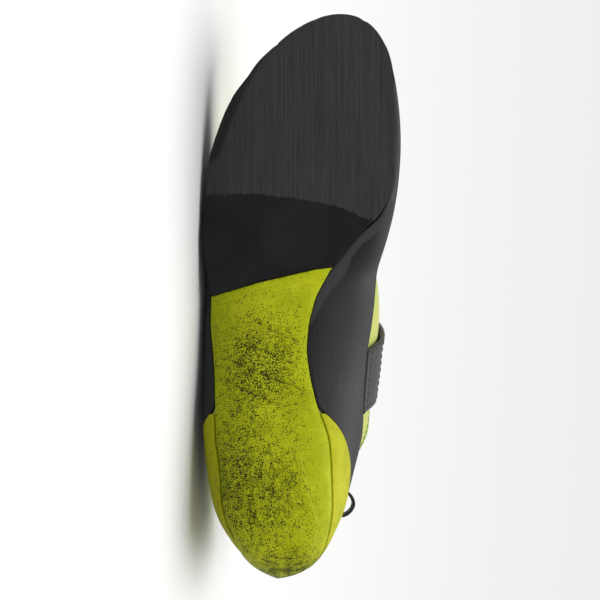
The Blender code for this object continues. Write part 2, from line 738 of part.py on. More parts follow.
# Laying the shoe down on its little-toe side
def resting_turn(objects):
    """The turn that brings the flat under the shoe's little-toe side, nearest its centre, onto the floor."""
    graph = bpy.context.evaluated_depsgraph_get()
    cloud = bmesh.new()
    volume = 0.0
    moment = Vector((0, 0, 0))
    for obj in objects:
        bm = bmesh.new()
        bm.from_object(obj, graph)
        bmesh.ops.triangulate(bm, faces=bm.faces)
        for face in bm.faces:
            a, b, c = [v.co for v in face.verts]
            part = a.dot(b.cross(c)) / 6
            volume += part
            moment += part * (a + b + c) / 4
        for vert in bm.verts:
            cloud.verts.new(vert.co)
        bm.free()
    centre = moment / volume
    bmesh.ops.remove_doubles(cloud, verts=cloud.verts, dist=1e-6)
    points = np.array([vert.co - centre for vert in cloud.verts])
    hull = bmesh.ops.convex_hull(cloud, input=cloud.verts, use_existing_faces=False)
    sides = []
    for face in (f for f in hull["geom"] if isinstance(f, bmesh.types.BMFace)):
        out = face.normal.copy()
        if out.x < 0:
            out.negate()
        if out.x > 0.85:
            sides.append((float((points @ np.array(out)).max()), out.copy()))
    cloud.free()
    down = min(sides, key=lambda side: side[0])[1]
    lie = Matrix(((0, -1, 0), (0, 0, 1), (-1, 0, 0))).to_4x4()
    turned = lie.to_3x3() @ down
    level = turned.rotation_difference(Vector((0, 0, -1))).to_matrix().to_4x4()
    return level @ lie


def lay_down(objects):
    turn = resting_turn(objects)
    graph = bpy.context.evaluated_depsgraph_get()
    points = []
    for obj in objects:
        mesh = obj.evaluated_get(graph).to_mesh()
        points += [turn @ v.co for v in mesh.vertices]
        obj.evaluated_get(graph).to_mesh_clear()
    low = [min(p[i] for p in points) for i in range(3)]
    high = [max(p[i] for p in points) for i in range(3)]
    shift = Matrix.Translation((-(low[0] + high[0]) / 2, -(low[1] + high[1]) / 2, -low[2]))
    holder = bpy.data.objects.new("shoe", None)
    bpy.context.scene.collection.objects.link(holder)
    holder.matrix_world = shift @ turn
    for obj in bpy.context.scene.objects:
        if obj is not holder:
            obj.parent = holder
    bpy.context.view_layer.update()


def main():
    for obj in list(bpy.data.objects):
        bpy.data.objects.remove(obj)
    makers = (
        make_upper,
        make_insole,
        make_outsole,
        make_arch_sole,
        make_heel_cup,
        make_rand,
        make_tongue,
        make_strap,
        make_binding,
        make_pull_loop,
    )
    objects = [make() for make in makers]
    bpy.context.view_layer.update()
    lay_down(objects)


main()
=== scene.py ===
# Right climbing shoe with a hook-and-loop strap, seen from under its sole, lying on its little-toe side.
# Lengths in the tables are millimetres; the scene is in metres.
import math

import bpy
import bmesh
import numpy as np
from mathutils import Matrix, Vector
from mathutils.bvhtree import BVHTree


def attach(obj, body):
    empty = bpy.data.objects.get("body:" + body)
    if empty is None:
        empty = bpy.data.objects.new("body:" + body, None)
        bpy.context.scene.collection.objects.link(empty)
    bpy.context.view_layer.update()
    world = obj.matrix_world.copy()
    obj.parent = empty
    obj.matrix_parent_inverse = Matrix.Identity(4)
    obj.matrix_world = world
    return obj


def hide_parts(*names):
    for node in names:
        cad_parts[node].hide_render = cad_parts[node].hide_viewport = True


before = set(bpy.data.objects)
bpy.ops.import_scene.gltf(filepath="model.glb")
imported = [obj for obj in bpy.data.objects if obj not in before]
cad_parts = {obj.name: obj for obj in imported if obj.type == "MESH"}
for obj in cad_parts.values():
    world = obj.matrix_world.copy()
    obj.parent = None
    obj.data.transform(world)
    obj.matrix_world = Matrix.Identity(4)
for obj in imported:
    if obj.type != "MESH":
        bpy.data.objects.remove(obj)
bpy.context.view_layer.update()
print("stage 1: frame loaded", len(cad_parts), "nodes")

# Sizes shared with the solids
lastLength = 250.5
ballWidth = 80.0
instepHeight = 80.0
upperWall = 1.8
partGap = 0.35

# How the shoe lies: the last's own frame (toe +Y, little toe +X, up from the sole +Z) in the world
layTurn = np.array(
    [[0.05008, -0.99874, 0.00226], [-0.0899, -0.00226, 0.99595], [-0.99469, -0.05008, -0.0899]]
)
layPlace = np.array([0.12523, -0.04675, 0.05476])

# The sole view: right, up and towards the eye, rolled five degrees to the big-toe side
roll = math.radians(5)
viewTurn = np.array(
    [[-math.cos(roll), 0, math.sin(roll)], [0, 1, 0], [-math.sin(roll), 0, -math.cos(roll)]]
)


def toDesign(points):
    return (np.asarray(points) - layPlace) @ layTurn * 1000


def toWorld(points):
    return np.asarray(points) / 1000 @ layTurn.T + layPlace


def toSoleView(points):
    return toDesign(points) @ viewTurn.T


stepMm = 0.456
stepsAcross = 600


def mark(x, y):  # a place on the sole view, counted in steps from its left and from above
    return ((x - stepsAcross / 2) * stepMm, (584 - y) * stepMm - 4.7)


# One row per section, heel to toe. "along" is a share of the length in percent, "turn" swings the section
# about the heel or toe centre in degrees, the others are percent of the ball width; "flat" is percent of
# the reach on that side.
planColumns = ("along", "turn", "centre", "lat", "med", "flat_lat", "flat_med")
planRows = (
    ("heel_back", 11.7, -90, 14.4, 36.6, 36.6, 45, 45),
    ("heel_60", 11.7, -60, 14.4, 31.1, 34.1, 50, 48),
    ("heel_30", 11.7, -30, 14.4, 28.5, 29.4, 56, 50),
    ("heel_side", 11.7, 0, 14.4, 32.0, 31.8, 60, 50),
    ("seat", 18.1, 0, 15.6, 34.6, 38.0, 62, 45),
    ("seat_end", 24.5, 0, 18.1, 34.1, 45.0, 66, 42),
    ("waist_a", 30.1, 0, 20.0, 34.3, 49.4, 68, 42),
    ("waist_b", 35.2, 0, 21.3, 31.8, 53.8, 70, 40),
    ("waist_c", 40.4, 0, 21.3, 31.8, 56.3, 72, 38),
    ("waist_d", 45.5, 0, 20.6, 32.5, 58.1, 72, 38),
    ("waist_e", 50.5, 0, 19.4, 32.0, 57.5, 72, 38),
    ("waist_f", 55.7, 0, 15.0, 36.9, 51.9, 74, 45),
    ("ball_a", 60.8, 0, 7.5, 44.1, 50.4, 78, 60),
    ("ball_b", 65.8, 0, 3.8, 47.1, 51.3, 80, 75),
    ("ball_c", 70.9, 0, 0.0, 49.6, 50.1, 82, 82),
    ("ball_d", 76.1, 0, -3.1, 50.4, 48.5, 82, 82),
    ("toes_a", 81.2, 0, -6.9, 49.0, 44.8, 82, 82),
    ("toes_b", 86.2, 0, -12.5, 47.8, 37.9, 82, 82),
    ("toe_side", 90.3, 0, -17.5, 43.0, 30.9, 80, 80),
    ("toe_15", 90.3, 15, -17.5, 36.4, 30.4, 80, 80),
    ("toe_30", 90.3, 30, -17.5, 30.9, 31.0, 80, 80),
    ("toe_60", 90.3, 60, -17.5, 28.0, 33.0, 80, 80),
    ("toe_tip", 90.3, 90, -17.5, 30.3, 30.3, 80, 80),
)

# Heights are percent of the instep height, "ridge_x" is percent of the ball width towards the little toe,
# "low" and "up" are the powers of the curves under and over the widest line.
heightColumns = (
    "floor", "wide_lat", "wide_med", "ridge", "ridge_x",
    "low_lat", "low_med", "up_lat", "up_med",
)
heightRows = (
    ("heel_back", 8.1, 35.0, 35.0, 125.0, 0.0, 2.2, 2.2, 2.4, 2.4),
    ("heel_60", 8.1, 34.0, 35.0, 125.0, 0.0, 2.2, 2.2, 2.4, 2.4),
    ("heel_30", 8.1, 32.0, 34.5, 125.0, 0.0, 2.3, 2.2, 2.4, 2.4),
    ("heel_side", 8.1, 31.0, 36.0, 125.0, 0.0, 2.4, 2.2, 2.4, 2.4),
    ("seat", 9.0, 31.5, 42.5, 125.0, -1.3, 2.6, 2.0, 2.4, 2.4),
    ("seat_end", 11.3, 32.5, 54.0, 125.0, -5.0, 3.0, 1.9, 2.4, 2.4),
    ("waist_a", 14.4, 34.0, 61.0, 125.0, -10.0, 3.2, 1.8, 2.3, 2.3),
    ("waist_b", 16.9, 35.0, 62.0, 121.0, -13.8, 3.4, 1.7, 2.2, 2.2),
    ("waist_c", 18.8, 35.6, 60.0, 114.0, -16.3, 3.5, 1.7, 2.1, 2.1),
    ("waist_d", 18.8, 35.0, 56.0, 105.0, -17.0, 3.5, 1.7, 2.0, 2.0),
    ("waist_e", 17.5, 32.5, 51.0, 95.0, -16.8, 3.5, 1.7, 2.0, 2.0),
    ("waist_f", 15.0, 28.8, 42.5, 84.4, -13.8, 3.6, 1.9, 2.0, 2.0),
    ("ball_a", 12.5, 25.0, 31.0, 73.8, -9.4, 3.6, 2.4, 2.0, 2.0),
    ("ball_b", 10.8, 22.5, 23.5, 63.8, -7.5, 3.6, 3.2, 2.0, 2.0),
    ("ball_c", 9.5, 20.0, 19.4, 55.6, -7.5, 3.6, 3.6, 2.0, 2.0),
    ("ball_d", 8.8, 18.0, 17.5, 48.8, -6.3, 3.6, 3.6, 2.1, 2.1),
    ("toes_a", 8.1, 17.0, 16.3, 43.8, -4.4, 3.6, 3.6, 2.2, 2.2),
    ("toes_b", 7.9, 15.8, 15.6, 39.4, -1.9, 3.6, 3.6, 2.3, 2.3),
    ("toe_side", 7.9, 15.0, 15.0, 35.5, 0.0, 3.6, 3.6, 2.4, 2.4),
    ("toe_15", 7.9, 15.0, 15.0, 35.5, 0.0, 3.6, 3.6, 2.4, 2.4),
    ("toe_30", 7.9, 15.0, 15.0, 35.5, 0.0, 3.6, 3.6, 2.4, 2.4),
    ("toe_60", 7.9, 15.0, 15.0, 35.5, 0.0, 3.6, 3.6, 2.4, 2.4),
    ("toe_tip", 7.9, 15.0, 15.0, 35.5, 0.0, 3.6, 3.6, 2.4, 2.4),
)

# Edges of the pieces, in percent of the instep height: "rand" is the top of the rubber band, "open" is how
# far the collar or throat edge lies under the ridge. "full_med" is how far the foot swells the upper over
# the big-toe side of the rand, in percent of the ball width.
edgeColumns = ("rand_lat", "rand_med", "open", "full_med")
edgeRows = (
    ("heel_back", 81, 81, 21.3, 0),
    ("heel_60", 80, 80, 23.8, 0),
    ("heel_30", 76, 77, 31.3, 0),
    ("heel_side", 67, 70, 38.8, 0),
    ("seat", 57, 62, 45.0, 1.5),
    ("seat_end", 50, 56, 47.5, 6.5),
    ("waist_a", 45, 51, 42.5, 4.5),
    ("waist_b", 42.5, 48, 27.5, 3.6),
    ("waist_c", 40, 45.5, 9.5, 3.0),
    ("waist_d", 37.5, 44, 3.8, 3.3),
    ("waist_e", 36, 42.5, 2.2, 3.4),
    ("waist_f", 35, 41, 1.0, 4.4),
    ("ball_a", 34, 38, 0, 0),
    ("ball_b", 33, 35, 0, 0),
    ("ball_c", 32, 32.5, 0, 0),
    ("ball_d", 31, 31, 0, 0),
    ("toes_a", 30, 30, 0, 0),
    ("toes_b", 29, 29, 0, 0),
    ("toe_side", 28, 28, 0, 0),
    ("toe_15", 28, 28, 0, 0),
    ("toe_30", 28, 28, 0, 0),
    ("toe_60", 28, 28, 0, 0),
    ("toe_tip", 28, 28, 0, 0),
)

# Strap path over the instep: place between the ridge at 0 and the rand, at -1 on the big-toe side and 1 on
# the little-toe side, then percent of the length along
strapPath = (
    (-1.0, 34.6), (-0.66, 38.6), (-0.33, 42.2), (0.0, 45.0),
    (0.3, 46.8), (0.55, 48.0), (0.8, 49.0),
)

# Rib places along the ring; the pull loop's middle, a share of the length; the height over which the upper
# swells past the rand, a share of the instep height
heelSideRib = 3
bindingEnd = 11
loopAlong = 0.117
fullRise = 0.15
flatSteps = 12
arcSteps = 24


# Section functions
def ringTable():
    sides = []
    for side in ("lat", "med"):
        rows = []
        for planRow, heightRow, edgeRow in zip(planRows, heightRows, edgeRows):
            plan = dict(zip(planColumns, planRow[1:]))
            height = dict(zip(heightColumns, heightRow[1:]))
            edge = dict(zip(edgeColumns, edgeRow[1:]))
            across = ballWidth / 100
            up = instepHeight / 100
            lateral = side == "lat"
            reach = plan[side] * across
            rows.append({
                "x": plan["centre"] * across,
                "y": plan["along"] * lastLength / 100,
                "angle": plan["turn"] if lateral else 180 - plan["turn"],
                "reach": reach,
                "flat": reach * plan["flat_" + side] / 100,
                "floor": height["floor"] * up,
                "wide": height["wide_" + side] * up,
                "ridge": height["ridge"] * up,
                "topReach": height["ridge_x"] * across * (1 if lateral else -1),
                "low": height["low_" + side],
                "up": height["up_" + side],
                "rand": edge["rand_" + side] * up,
                "open": edge["open"] * up,
                "full": 0 if lateral else edge["full_med"] * across,
            })
        sides.append(rows)
    return sides[0] + sides[1][-2:0:-1]


ring = ringTable()
ribCount = len(ring)
ringColumns = tuple(ring[0])
ringValues = np.array([[row[name] for name in ringColumns] for row in ring])
toeRib = ribCount // 2
straightColumns = {"angle", "rand", "open"}


def rib(s):
    s = s % ribCount
    i = int(math.floor(s))
    f = s - i
    rows = []
    for k in (i - 1, i, i + 1, i + 2):
        row = ringValues[k % ribCount].copy()
        row[ringColumns.index("angle")] += 360 * (k // ribCount)
        rows.append(row)
    a, b, c, d = rows
    smooth = b + 0.5 * f * (c - a + f * (2 * a - 5 * b + 4 * c - d + f * (3 * (b - c) + d - a)))
    straight = b + f * (c - b)
    level = np.abs(c - b) < 1e-9
    values = {}
    for n, name in enumerate(ringColumns):
        values[name] = float((straight if name in straightColumns or level[n] else smooth)[n])
    return values


knownCurves = {}


def curve(s):
    key = round(s % ribCount, 6)
    if key in knownCurves:
        return knownCurves[key]
    v = rib(key)
    flat = np.linspace(0, 1, flatSteps + 1)[:-1]
    turn = np.linspace(0, math.pi / 2, arcSteps + 1)
    lowR = v["flat"] + (v["reach"] - v["flat"]) * np.sin(turn) ** (2 / v["low"])
    lowZ = v["wide"] - (v["wide"] - v["floor"]) * np.cos(turn) ** (2 / v["low"])
    upR = v["topReach"] + (v["reach"] - v["topReach"]) * np.cos(turn) ** (2 / v["up"])
    upZ = v["wide"] + (v["ridge"] - v["wide"]) * np.sin(turn) ** (2 / v["up"])
    r = np.concatenate([flat * v["flat"], lowR, upR[1:]])
    z = np.concatenate([flat * 0 + v["floor"], lowZ, upZ[1:]])
    rise = np.clip((z - v["rand"]) / (fullRise * instepHeight) - 0.08, 0, 1)
    fade = 1 - np.clip((z - v["wide"]) / (v["ridge"] - v["wide"]), 0, 1) ** 2
    r = r + v["full"] * rise ** 2 * (3 - 2 * rise) * fade
    step = np.hypot(np.diff(r), np.diff(z))
    length = np.concatenate([[0], np.cumsum(step)])
    knownCurves[key] = {
        "v": v,
        "r": r,
        "z": z,
        "length": length[-1],
        "t": length / length[-1],
    }
    return knownCurves[key]


def atHeight(s, height):
    c = curve(s)
    return float(np.interp(height, c["z"][flatSteps:], c["t"][flatSteps:]))


def alongRib(s, t, way):
    return t + way / curve(s)["length"]


def onLast(s, t):
    c = curve(s)
    v = c["v"]
    r = np.interp(t, c["t"], c["r"])
    z = np.interp(t, c["t"], c["z"])
    angle = math.radians(v["angle"])
    return np.array([v["x"] + r * math.cos(angle), v["y"] + r * math.sin(angle), z])


normalAround = ribCount * 4
normalUp = 48


def normalGrid():
    points = np.array([
        [onLast(i / 4, j / normalUp) for j in range(normalUp + 1)]
        for i in range(normalAround)
    ])
    keys = np.round(points.reshape(-1, 3), 4)
    _, index = np.unique(keys, axis=0, return_inverse=True)
    index = index.reshape(normalAround, normalUp + 1)
    total = np.zeros((index.max() + 1, 3))
    for i in range(normalAround):
        n = (i + 1) % normalAround
        corner = points[i, :-1]
        across = points[n, 1:] - corner
        other = points[i, 1:] - points[n, :-1]
        face = np.cross(across, other)
        for ids in (index[i, :-1], index[i, 1:], index[n, :-1], index[n, 1:]):
            np.add.at(total, ids, face)
    total /= np.linalg.norm(total, axis=1)[:, None]
    grid = total[index]
    outwards = points[0, normalUp // 3] - points.reshape(-1, 3).mean(axis=0)
    if np.dot(grid[0, normalUp // 3], outwards) < 0:
        grid = -grid
    return grid


normals = normalGrid()


def normal(s, t):
    a = (s % ribCount) * 4
    b = min(max(t, 0.0), 1.0) * normalUp
    i = int(a)
    j = min(int(b), normalUp - 1)
    fa = a - i
    fb = b - j
    n = (i + 1) % normalAround
    i = i % normalAround
    mix = (normals[i, j] * (1 - fa) + normals[n, j] * fa) * (1 - fb)
    mix = mix + (normals[i, j + 1] * (1 - fa) + normals[n, j + 1] * fa) * fb
    return mix / np.linalg.norm(mix)


def point(s, t, out):
    return onLast(s, t) + normal(s, t) * out


# Places of the edges
def randEdge(s):
    return atHeight(s, curve(s)["v"]["rand"])


def rimEdge(s):
    v = curve(s)["v"]
    if v["open"] < 0.2:
        return 1.0
    return atHeight(s, v["ridge"] - v["open"])


def sideRib(along, side):
    first = heelSideRib
    last = toeRib - 4
    places = ringValues[first:last + 1, ringColumns.index("y")]
    s = float(np.interp(along, places, np.arange(first, last + 1)))
    return s if side == "lat" else ribCount - s


print("stage 2: last rebuilt", ribCount, "ribs")


# Node and colour helpers
def toLinear(hexColour):
    parts = [int(hexColour[i:i + 2], 16) / 255 for i in (1, 3, 5)]
    return tuple(c / 12.92 if c <= 0.04045 else ((c + 0.055) / 1.055) ** 2.4 for c in parts) + (1.0,)


def addNode(tree, kind, links=None, **settings):
    node = tree.nodes.new(kind)
    for name, value in settings.items():
        setattr(node, name, value)
    for socket, value in (links or {}).items():
        if isinstance(value, bpy.types.Node):
            value = value.outputs[0]
        if isinstance(value, bpy.types.NodeSocket):
            tree.links.new(value, node.inputs[socket])
        else:
            node.inputs[socket].default_value = value
    return node


def mixed(node):  # the colour result of a Mix node
    return node.outputs[2]


def newMaterial(name, roughness, **sockets):
    material = bpy.data.materials.new(name)
    material.use_nodes = True
    tree = material.node_tree
    shader = tree.nodes["Principled BSDF"]
    shader.inputs["Metallic"].default_value = 0.0
    shader.inputs["Roughness"].default_value = roughness
    for socket, value in sockets.items():
        shader.inputs[socket.replace("_", " ")].default_value = value
    return material, tree, shader


def soleViewCoords(tree):  # Object coordinates turned to millimetres on the sole view
    turn = Matrix((viewTurn @ layTurn.T).tolist())
    place = -(viewTurn @ layTurn.T @ layPlace) * 1000
    source = addNode(tree, "ShaderNodeTexCoord")
    return addNode(
        tree, "ShaderNodeMapping",
        {
            "Vector": source.outputs["Object"], "Location": tuple(place),
            "Rotation": turn.to_euler("XYZ"), "Scale": (1000, 1000, 1000)
        }
    )


def bumpChain(tree, shader, heights):  # each height with its depth in millimetres
    last = None
    for height, depth in heights:
        links = {"Height": height, "Distance": depth / 1000, "Strength": 1.0}
        if last:
            links["Normal"] = last
        last = addNode(tree, "ShaderNodeBump", links)
    tree.links.new(last.outputs[0], shader.inputs["Normal"])


def clamped(tree, value, low, high):  # 0 at low, 1 at high
    return addNode(
        tree, "ShaderNodeMapRange", {"Value": value, "From Min": low, "From Max": high},
        interpolation_type="SMOOTHSTEP"
    )


# Materials
outsoleLook = {
    "ground": "#2b2b2a", "groundLight": "#3a3a38", "fine": "#4a4a48", "smooth": "#0f0f11",
    "smoothLight": "#19191a", "strip": "#1d1d1d", "roughGround": 0.74, "roughSmooth": 0.5,
    "specular": 0.17
}


def outsoleRubber():
    # Climbing rubber, vulcanised sheet, buffed on a belt: a dull charcoal with streaks along the belt's way
    look = outsoleLook
    material, tree, shader = newMaterial(
        "climbing_rubber_buffed", look["roughGround"], IOR=1.52, Specular_IOR_Level=look["specular"]
    )
    coords = soleViewCoords(tree)
    streakPlace = addNode(
        tree, "ShaderNodeMapping",
        {"Vector": coords, "Rotation": (0, 0, math.radians(-5)), "Scale": (1.1, 0.016, 0.2)}
    )
    streak = addNode(
        tree, "ShaderNodeTexNoise",
        {"Vector": streakPlace, "Scale": 1.0, "Detail": 6.0, "Roughness": 0.62}
    )
    finePlace = addNode(
        tree, "ShaderNodeMapping",
        {"Vector": coords, "Rotation": (0, 0, math.radians(-4)), "Scale": (2.6, 0.09, 0.5)}
    )
    fine = addNode(
        tree, "ShaderNodeTexNoise", {"Vector": finePlace, "Scale": 1.0, "Detail": 4.0, "Roughness": 0.6}
    )
    grain = addNode(
        tree, "ShaderNodeTexNoise", {"Vector": coords, "Scale": 1.4, "Detail": 5.0, "Roughness": 0.7}
    )
    cloud = addNode(tree, "ShaderNodeTexNoise", {"Vector": coords, "Scale": 0.045, "Detail": 3.0})
    ragPlace = addNode(tree, "ShaderNodeMapping", {"Vector": coords, "Scale": (0.42, 0.12, 0.2)})
    rag = addNode(
        tree, "ShaderNodeTexNoise", {"Vector": ragPlace, "Scale": 1.0, "Detail": 5.0, "Roughness": 0.65}
    )
    way = addNode(tree, "ShaderNodeAttribute", attribute_name="groundWay")
    ragged = addNode(
        tree, "ShaderNodeMath", {0: rag, 1: 5.0, 2: way.outputs["Fac"]}, operation="MULTIPLY_ADD"
    )
    ground = clamped(tree, ragged, 2.1, 2.9)
    strip = addNode(tree, "ShaderNodeAttribute", attribute_name="stripWay")
    stripRag = addNode(
        tree, "ShaderNodeMath", {0: streak, 1: 4.0, 2: strip.outputs["Fac"]}, operation="MULTIPLY_ADD"
    )
    stripMask = addNode(
        tree, "ShaderNodeMath", {0: clamped(tree, stripRag, 1.5, 3.5), 1: 0.85}, operation="MULTIPLY"
    )
    streakShare = clamped(tree, streak, 0.3, 0.72)
    fineShare = clamped(tree, fine, 0.35, 0.75)
    base = addNode(
        tree, "ShaderNodeMix",
        {0: streakShare, 6: toLinear(look["ground"]), 7: toLinear(look["groundLight"])}, data_type="RGBA"
    )
    linedFac = addNode(tree, "ShaderNodeMath", {0: fineShare, 1: 0.3}, operation="MULTIPLY")
    lined = addNode(
        tree, "ShaderNodeMix", {0: linedFac, 6: mixed(base), 7: toLinear(look["fine"])}, data_type="RGBA"
    )
    withStrip = addNode(
        tree, "ShaderNodeMix", {0: stripMask, 6: mixed(lined), 7: toLinear(look["strip"])},
        data_type="RGBA"
    )
    smooth = addNode(
        tree, "ShaderNodeMix",
        {
            0: clamped(tree, cloud, 0.35, 0.7), 6: toLinear(look["smooth"]),
            7: toLinear(look["smoothLight"])
        },
        data_type="RGBA"
    )
    colour = addNode(
        tree, "ShaderNodeMix", {0: ground, 6: mixed(smooth), 7: mixed(withStrip)}, data_type="RGBA"
    )
    tree.links.new(mixed(colour), shader.inputs["Base Color"])
    rough = addNode(
        tree, "ShaderNodeMapRange",
        {"Value": ground, "To Min": look["roughSmooth"], "To Max": look["roughGround"]}
    )
    tree.links.new(rough.outputs[0], shader.inputs["Roughness"])
    groundStreak = addNode(tree, "ShaderNodeMath", {0: streakShare, 1: ground}, operation="MULTIPLY")
    groundFine = addNode(tree, "ShaderNodeMath", {0: fineShare, 1: ground}, operation="MULTIPLY")
    bumpChain(tree, shader, ((groundStreak, 0.14), (groundFine, 0.06), (grain, 0.05), (ground, -0.35)))
    return material


limeLook = {
    "dark": "#8f9706", "mid": "#aab30e", "light": "#c0c81c", "darkBlotch": "#4e540f", "fleck": "#17180c",
    "groove": "#33370b", "rough": 0.55
}
cupLook = {"dark": "#95960a", "mid": "#b2b410", "light": "#c9ca26"}


def limeRubber(name, dark, mid, light, isSole):
    # Moulded natural rubber, lime, with a slightly waxy skin; black flecks of ground rubber stay on it
    look = limeLook
    material, tree, shader = newMaterial(name, look["rough"], IOR=1.5, Specular_IOR_Level=0.12)
    coords = soleViewCoords(tree)
    broad = addNode(
        tree, "ShaderNodeTexNoise", {"Vector": coords, "Scale": 0.07, "Detail": 4.0, "Roughness": 0.6}
    )
    mottle = addNode(
        tree, "ShaderNodeTexNoise", {"Vector": coords, "Scale": 0.9, "Detail": 5.0, "Roughness": 0.7}
    )
    pit = addNode(
        tree, "ShaderNodeTexNoise", {"Vector": coords, "Scale": 1.9, "Detail": 3.0, "Roughness": 0.6}
    )
    smear = addNode(
        tree, "ShaderNodeTexNoise", {"Vector": coords, "Scale": 0.3, "Detail": 4.0, "Roughness": 0.7}
    )
    base = addNode(
        tree, "ShaderNodeMix", {0: clamped(tree, broad, 0.3, 0.7), 6: toLinear(mid), 7: toLinear(light)},
        data_type="RGBA"
    )
    # Painted shade: the colour darkens towards the left of the sole view, from 8 mm to 42 mm left of the
    # middle
    across = addNode(tree, "ShaderNodeSeparateXYZ", {"Vector": coords})
    leftShaded = addNode(
        tree, "ShaderNodeMix",
        {0: clamped(tree, across.outputs[0], -8.0, -42.0), 6: mixed(base), 7: toLinear(dark)},
        data_type="RGBA"
    )
    shadeFac = addNode(
        tree, "ShaderNodeMath", {0: clamped(tree, mottle, 0.42, 0.75), 1: 0.45}, operation="MULTIPLY"
    )
    shade = addNode(
        tree, "ShaderNodeMix", {0: shadeFac, 6: mixed(leftShaded), 7: toLinear(dark)}, data_type="RGBA"
    )
    level = addNode(tree, "ShaderNodeAttribute", attribute_name="fleckLevel")
    edge = addNode(
        tree, "ShaderNodeMath", {0: level.outputs["Fac"], 1: -0.17, 2: 0.735}, operation="MULTIPLY_ADD"
    )
    lump = addNode(tree, "ShaderNodeMath", {0: smear, 1: 0.35, 2: -0.175}, operation="MULTIPLY_ADD")
    fleckValue = addNode(tree, "ShaderNodeMath", {0: pit, 1: lump}, operation="ADD")
    over = addNode(tree, "ShaderNodeMath", {0: fleckValue, 1: edge}, operation="SUBTRACT")
    fleck = clamped(tree, over, 0.0, 0.035)
    # Darker olive blotches, broken up by noise, at the places each piece marks
    darkBlotch = addNode(tree, "ShaderNodeAttribute", attribute_name="darkBlotchLevel")
    darkBlotchValue = addNode(
        tree, "ShaderNodeMath", {0: darkBlotch.outputs["Fac"], 1: clamped(tree, smear, 0.25, 0.6)},
        operation="MULTIPLY"
    )
    blotched = addNode(
        tree, "ShaderNodeMix", {0: darkBlotchValue, 6: mixed(shade), 7: toLinear(look["darkBlotch"])},
        data_type="RGBA"
    )
    heights = [(mottle, 0.09), (fleck, 0.12)]
    top = blotched
    if isSole:
        # Shallow moulded flex lines: slanting in the arch, arcs by the heel end
        split = addNode(tree, "ShaderNodeSeparateXYZ", {"Vector": coords})
        wobble = addNode(
            tree, "ShaderNodeMath", {0: broad, 1: 5.0, 2: split.outputs[1]}, operation="MULTIPLY_ADD"
        )
        slant = addNode(
            tree, "ShaderNodeMath", {0: split.outputs[0], 1: 0.42, 2: wobble}, operation="MULTIPLY_ADD"
        )
        archLine = addNode(tree, "ShaderNodeMath", {0: slant, 1: 5.4}, operation="PINGPONG")
        archCut = clamped(tree, archLine, 0.75, 0.25)
        archShare = addNode(tree, "ShaderNodeAttribute", attribute_name="archLines")
        archGroove = addNode(
            tree, "ShaderNodeMath", {0: archCut, 1: clamped(tree, archShare.outputs["Fac"], 0.0, 1.2)},
            operation="MULTIPLY"
        )
        heelWay = addNode(tree, "ShaderNodeAttribute", attribute_name="heelArc")
        heelLine = addNode(
            tree, "ShaderNodeMath", {0: heelWay.outputs["Fac"], 1: 1.5}, operation="PINGPONG"
        )
        heelCut = clamped(tree, heelLine, 0.5, 0.1)
        heelShare = addNode(tree, "ShaderNodeAttribute", attribute_name="heelLines")
        heelGroove = addNode(
            tree, "ShaderNodeMath", {0: heelCut, 1: clamped(tree, heelShare.outputs["Fac"], 0.0, 1.0)},
            operation="MULTIPLY"
        )
        groove = addNode(tree, "ShaderNodeMath", {0: archGroove, 1: heelGroove}, operation="MAXIMUM")
        speckled = addNode(
            tree, "ShaderNodeMath", {0: groove, 1: clamped(tree, smear, 0.36, 0.6)}, operation="MULTIPLY"
        )
        grooveFac = addNode(tree, "ShaderNodeMath", {0: speckled, 1: 0.6}, operation="MULTIPLY")
        top = addNode(
            tree, "ShaderNodeMix", {0: grooveFac, 6: mixed(blotched), 7: toLinear(look["groove"])},
            data_type="RGBA"
        )
        deep = addNode(tree, "ShaderNodeMath", {0: groove, 1: -1.0}, operation="MULTIPLY")
        heights.append((deep, 0.4))
    colour = addNode(
        tree, "ShaderNodeMix", {0: fleck, 6: mixed(top), 7: toLinear(look["fleck"])}, data_type="RGBA"
    )
    tree.links.new(mixed(colour), shader.inputs["Base Color"])
    rough = addNode(
        tree, "ShaderNodeMapRange",
        {
            "Value": mottle, "From Min": 0.3, "From Max": 0.7, "To Min": look["rough"] - 0.08,
            "To Max": look["rough"] + 0.12
        }
    )
    tree.links.new(rough.outputs[0], shader.inputs["Roughness"])
    bumpChain(tree, shader, heights)
    return material


randLook = {
    "black": "#151516", "blackLight": "#1e1e20", "buffed": "#373737", "wornAndCreaseShaded": "#464647", "rough": 0.5,
    "specular": 0.25
}


